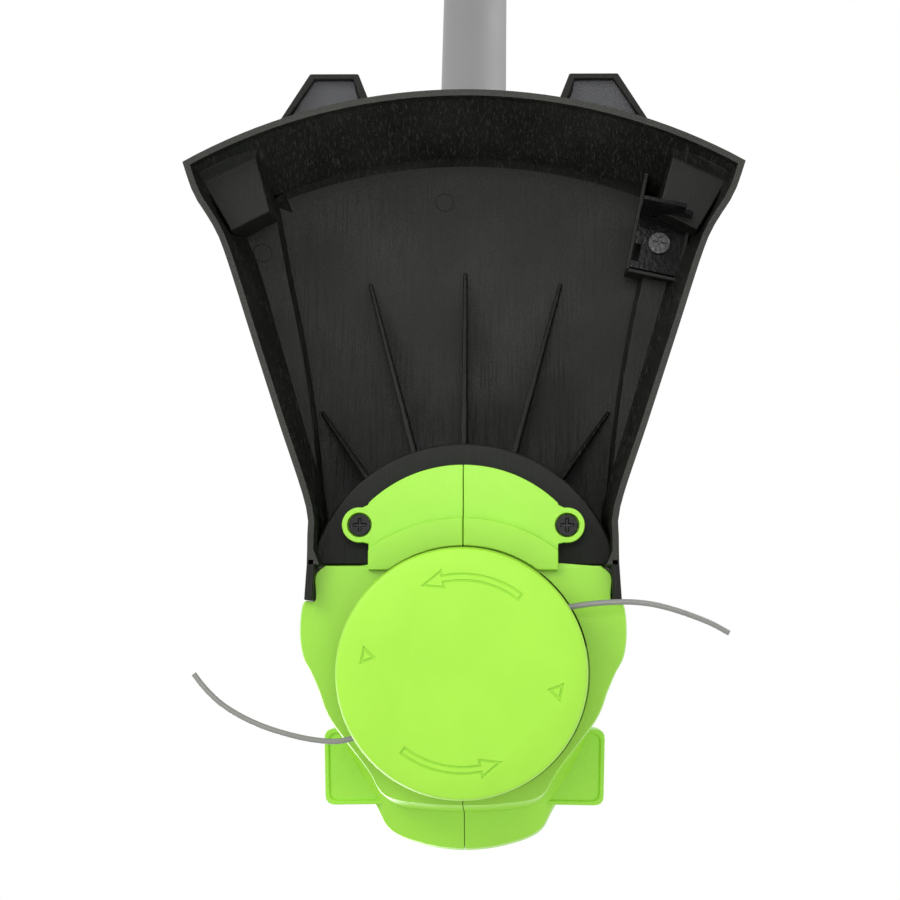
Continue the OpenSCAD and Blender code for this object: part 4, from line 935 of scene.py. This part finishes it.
RIBS = {"middle": ((0, 78), (0, 146)), "left": ((17, 75), (34.9, 142)),
        "right": ((-17, 75), (-34.9, 142)), "left_outer": ((33, 67), (52.5, 95)),
        "right_outer": ((-33, 67), (-52.5, 95))}
for word, (start, end) in RIBS.items():
    rib("rib_" + word, start, end)
print("guard ribs:", len(RIBS))

# %% [markdown]
# The corners of the rim are filled by raised boxes that stiffen it. Their faces slope
# towards the rim and towards the roof, so a cube would have to be bent at every
# corner. Ten points, each where two of its edges meet, are simpler.

# %% Corner boxes
BOX_FACE, BOX_EDGE, BOX_ROOT = 31, 27, 60
BOX = [(93.3, 174.4), (74.3, 183.3), (69.2, 164.2), (83.2, 157.1)]
BOX_RIM = [(95.2, 177.4), (72.5, 188.8)]
BOX_TOP = [(95.2, 177.4), (72.6, 186), (67.2, 164.2), (82.6, 155.6)]
points = [(x, y, z) for outline, z in ((BOX, BOX_FACE), (BOX_RIM, BOX_EDGE),
                                       (BOX_TOP, BOX_ROOT)) for x, y in outline]
faces = [(0, 1, 2, 3), (0, 4, 5, 1), (6, 7, 8, 9), (1, 7, 8, 2), (2, 8, 9, 3),
         (3, 9, 6, 0), (0, 6, 4), (1, 5, 7), (4, 6, 7, 5)]
for word, side in SIDES:
    round_edges(mesh_piece("corner_box_" + word, mirrored(points, side), faces, "root",
                           "guard_black"), 0.7, 20)
print("corner boxes:", len(SIDES))

# %% [markdown]
# On the right a thin frame stands round the line cutter on three sides. Each side is
# a strip between two corners of the frame. A solidified outline would do too, but
# strips that overlap at the corners keep the frame an even thickness.

# %% Cutter frame
FRAME_HALF, FRAME_OVER, FRAME_LOW, FRAME_HIGH = 0.65, 0.6, 43.6, 60
FRAME = [(-66.2, 182), (-58.6, 144.9), (-77.1, 140.9), (-82.3, 168.5)]
for k, (a, b) in enumerate(zip(FRAME, FRAME[1:])):
    run = (Vector(b) - Vector(a)).normalized()
    out = Vector((-run.y, run.x)) * FRAME_HALF
    a, b = Vector(a) - run * FRAME_OVER, Vector(b) + run * FRAME_OVER
    edge = [tuple(a + out), tuple(b + out), tuple(b - out), tuple(a - out)]
    prism("cutter_frame_" + str(k + 1), edge, FRAME_LOW, edge, FRAME_HIGH, 0.25)
print("cutter frame strips:", len(FRAME) - 1)

# %% [markdown]
# Two tabs stand out behind the rim. Each is a wall round a hollow, with a thin web
# across it, and its flank slants, so the wall's ends lie further in at the top. A
# solid block would be quicker, but it would lose the hollow that is seen. The web is
# painted paler and bluer than the guard, as painted light caught in the hollow.

# %% Tabs
TAB_LOW, TAB_HIGH, WEB_LOW, WEB_HIGH = 26, 48, 29.5, 31.5
TAB_OUT = [(33.2, 202), (37.6, 212.8), (54.8, 212.8), (66.5, 195)]
TAB_IN = [(63.6, 195.6), (53.2, 210.8), (39.4, 210.8), (36.2, 202)]
TAB_ENDS = {0: (33.2, 187.8), 3: (66.5, 178.6), 4: (63.6, 180), 7: (36.2, 187)}
WEB = [(34.6, 200), (39, 211.8), (53.6, 211.8), (65.0, 193)]
outline = TAB_OUT + TAB_IN
lifted = [TAB_ENDS.get(i, p) for i, p in enumerate(outline)]
for word, side in SIDES:
    prism("guard_tab_" + word, mirrored(outline, side), TAB_LOW, mirrored(lifted, side),
          TAB_HIGH, 0.5)
    web = prism("tab_web_" + word, mirrored(WEB, side), WEB_LOW, mirrored(WEB, side),
                WEB_HIGH, 0.5)
    # Painted light: the web takes the paler, bluer copy of the black, for light caught in
    # the hollow.
    web.data.materials[0] = FINISHES["painted_lit_web"]
print("guard tabs:", len(SIDES))

# %% [markdown]
# Where a pin pushed the guard out of its mould, it left a faint ring. It could be
# drawn in the bump, but then it would be lost from the mesh, so each ring is a very
# low ridge.

# %% Pin marks
RING_IN, RING_OUT, RIDGE, ROOT = 3.1, 3.4, -0.12, 0.5


def pin_ring(name, x, y, z):
    """The faint ring that an ejector pin leaves in a moulding."""
    points, faces, steps = [], [], 40
    profile = ((RING_OUT, ROOT), (RING_OUT, RIDGE), (RING_IN, RIDGE), (RING_IN, ROOT))
    for k in range(steps):
        a = 2 * math.pi * k / steps
        points += [(x + r * math.cos(a), y + r * math.sin(a), z + up)
                   for r, up in profile]
    for k in range(steps):
        for j in range(4):
            here, there = 4 * k, 4 * ((k + 1) % steps)
            faces.append((here + j, here + (j + 1) % 4, there + (j + 1) % 4, there + j))
    return mesh_piece(name, points, faces, "root", "guard_black")


pin_ring("pin_mark_roof", 7.6, 172, ROOF_Z)
pin_ring("pin_mark_channel", 73.6, 152, CHANNEL_Z)
print("pin mark width in mm:", 2 * RING_OUT)
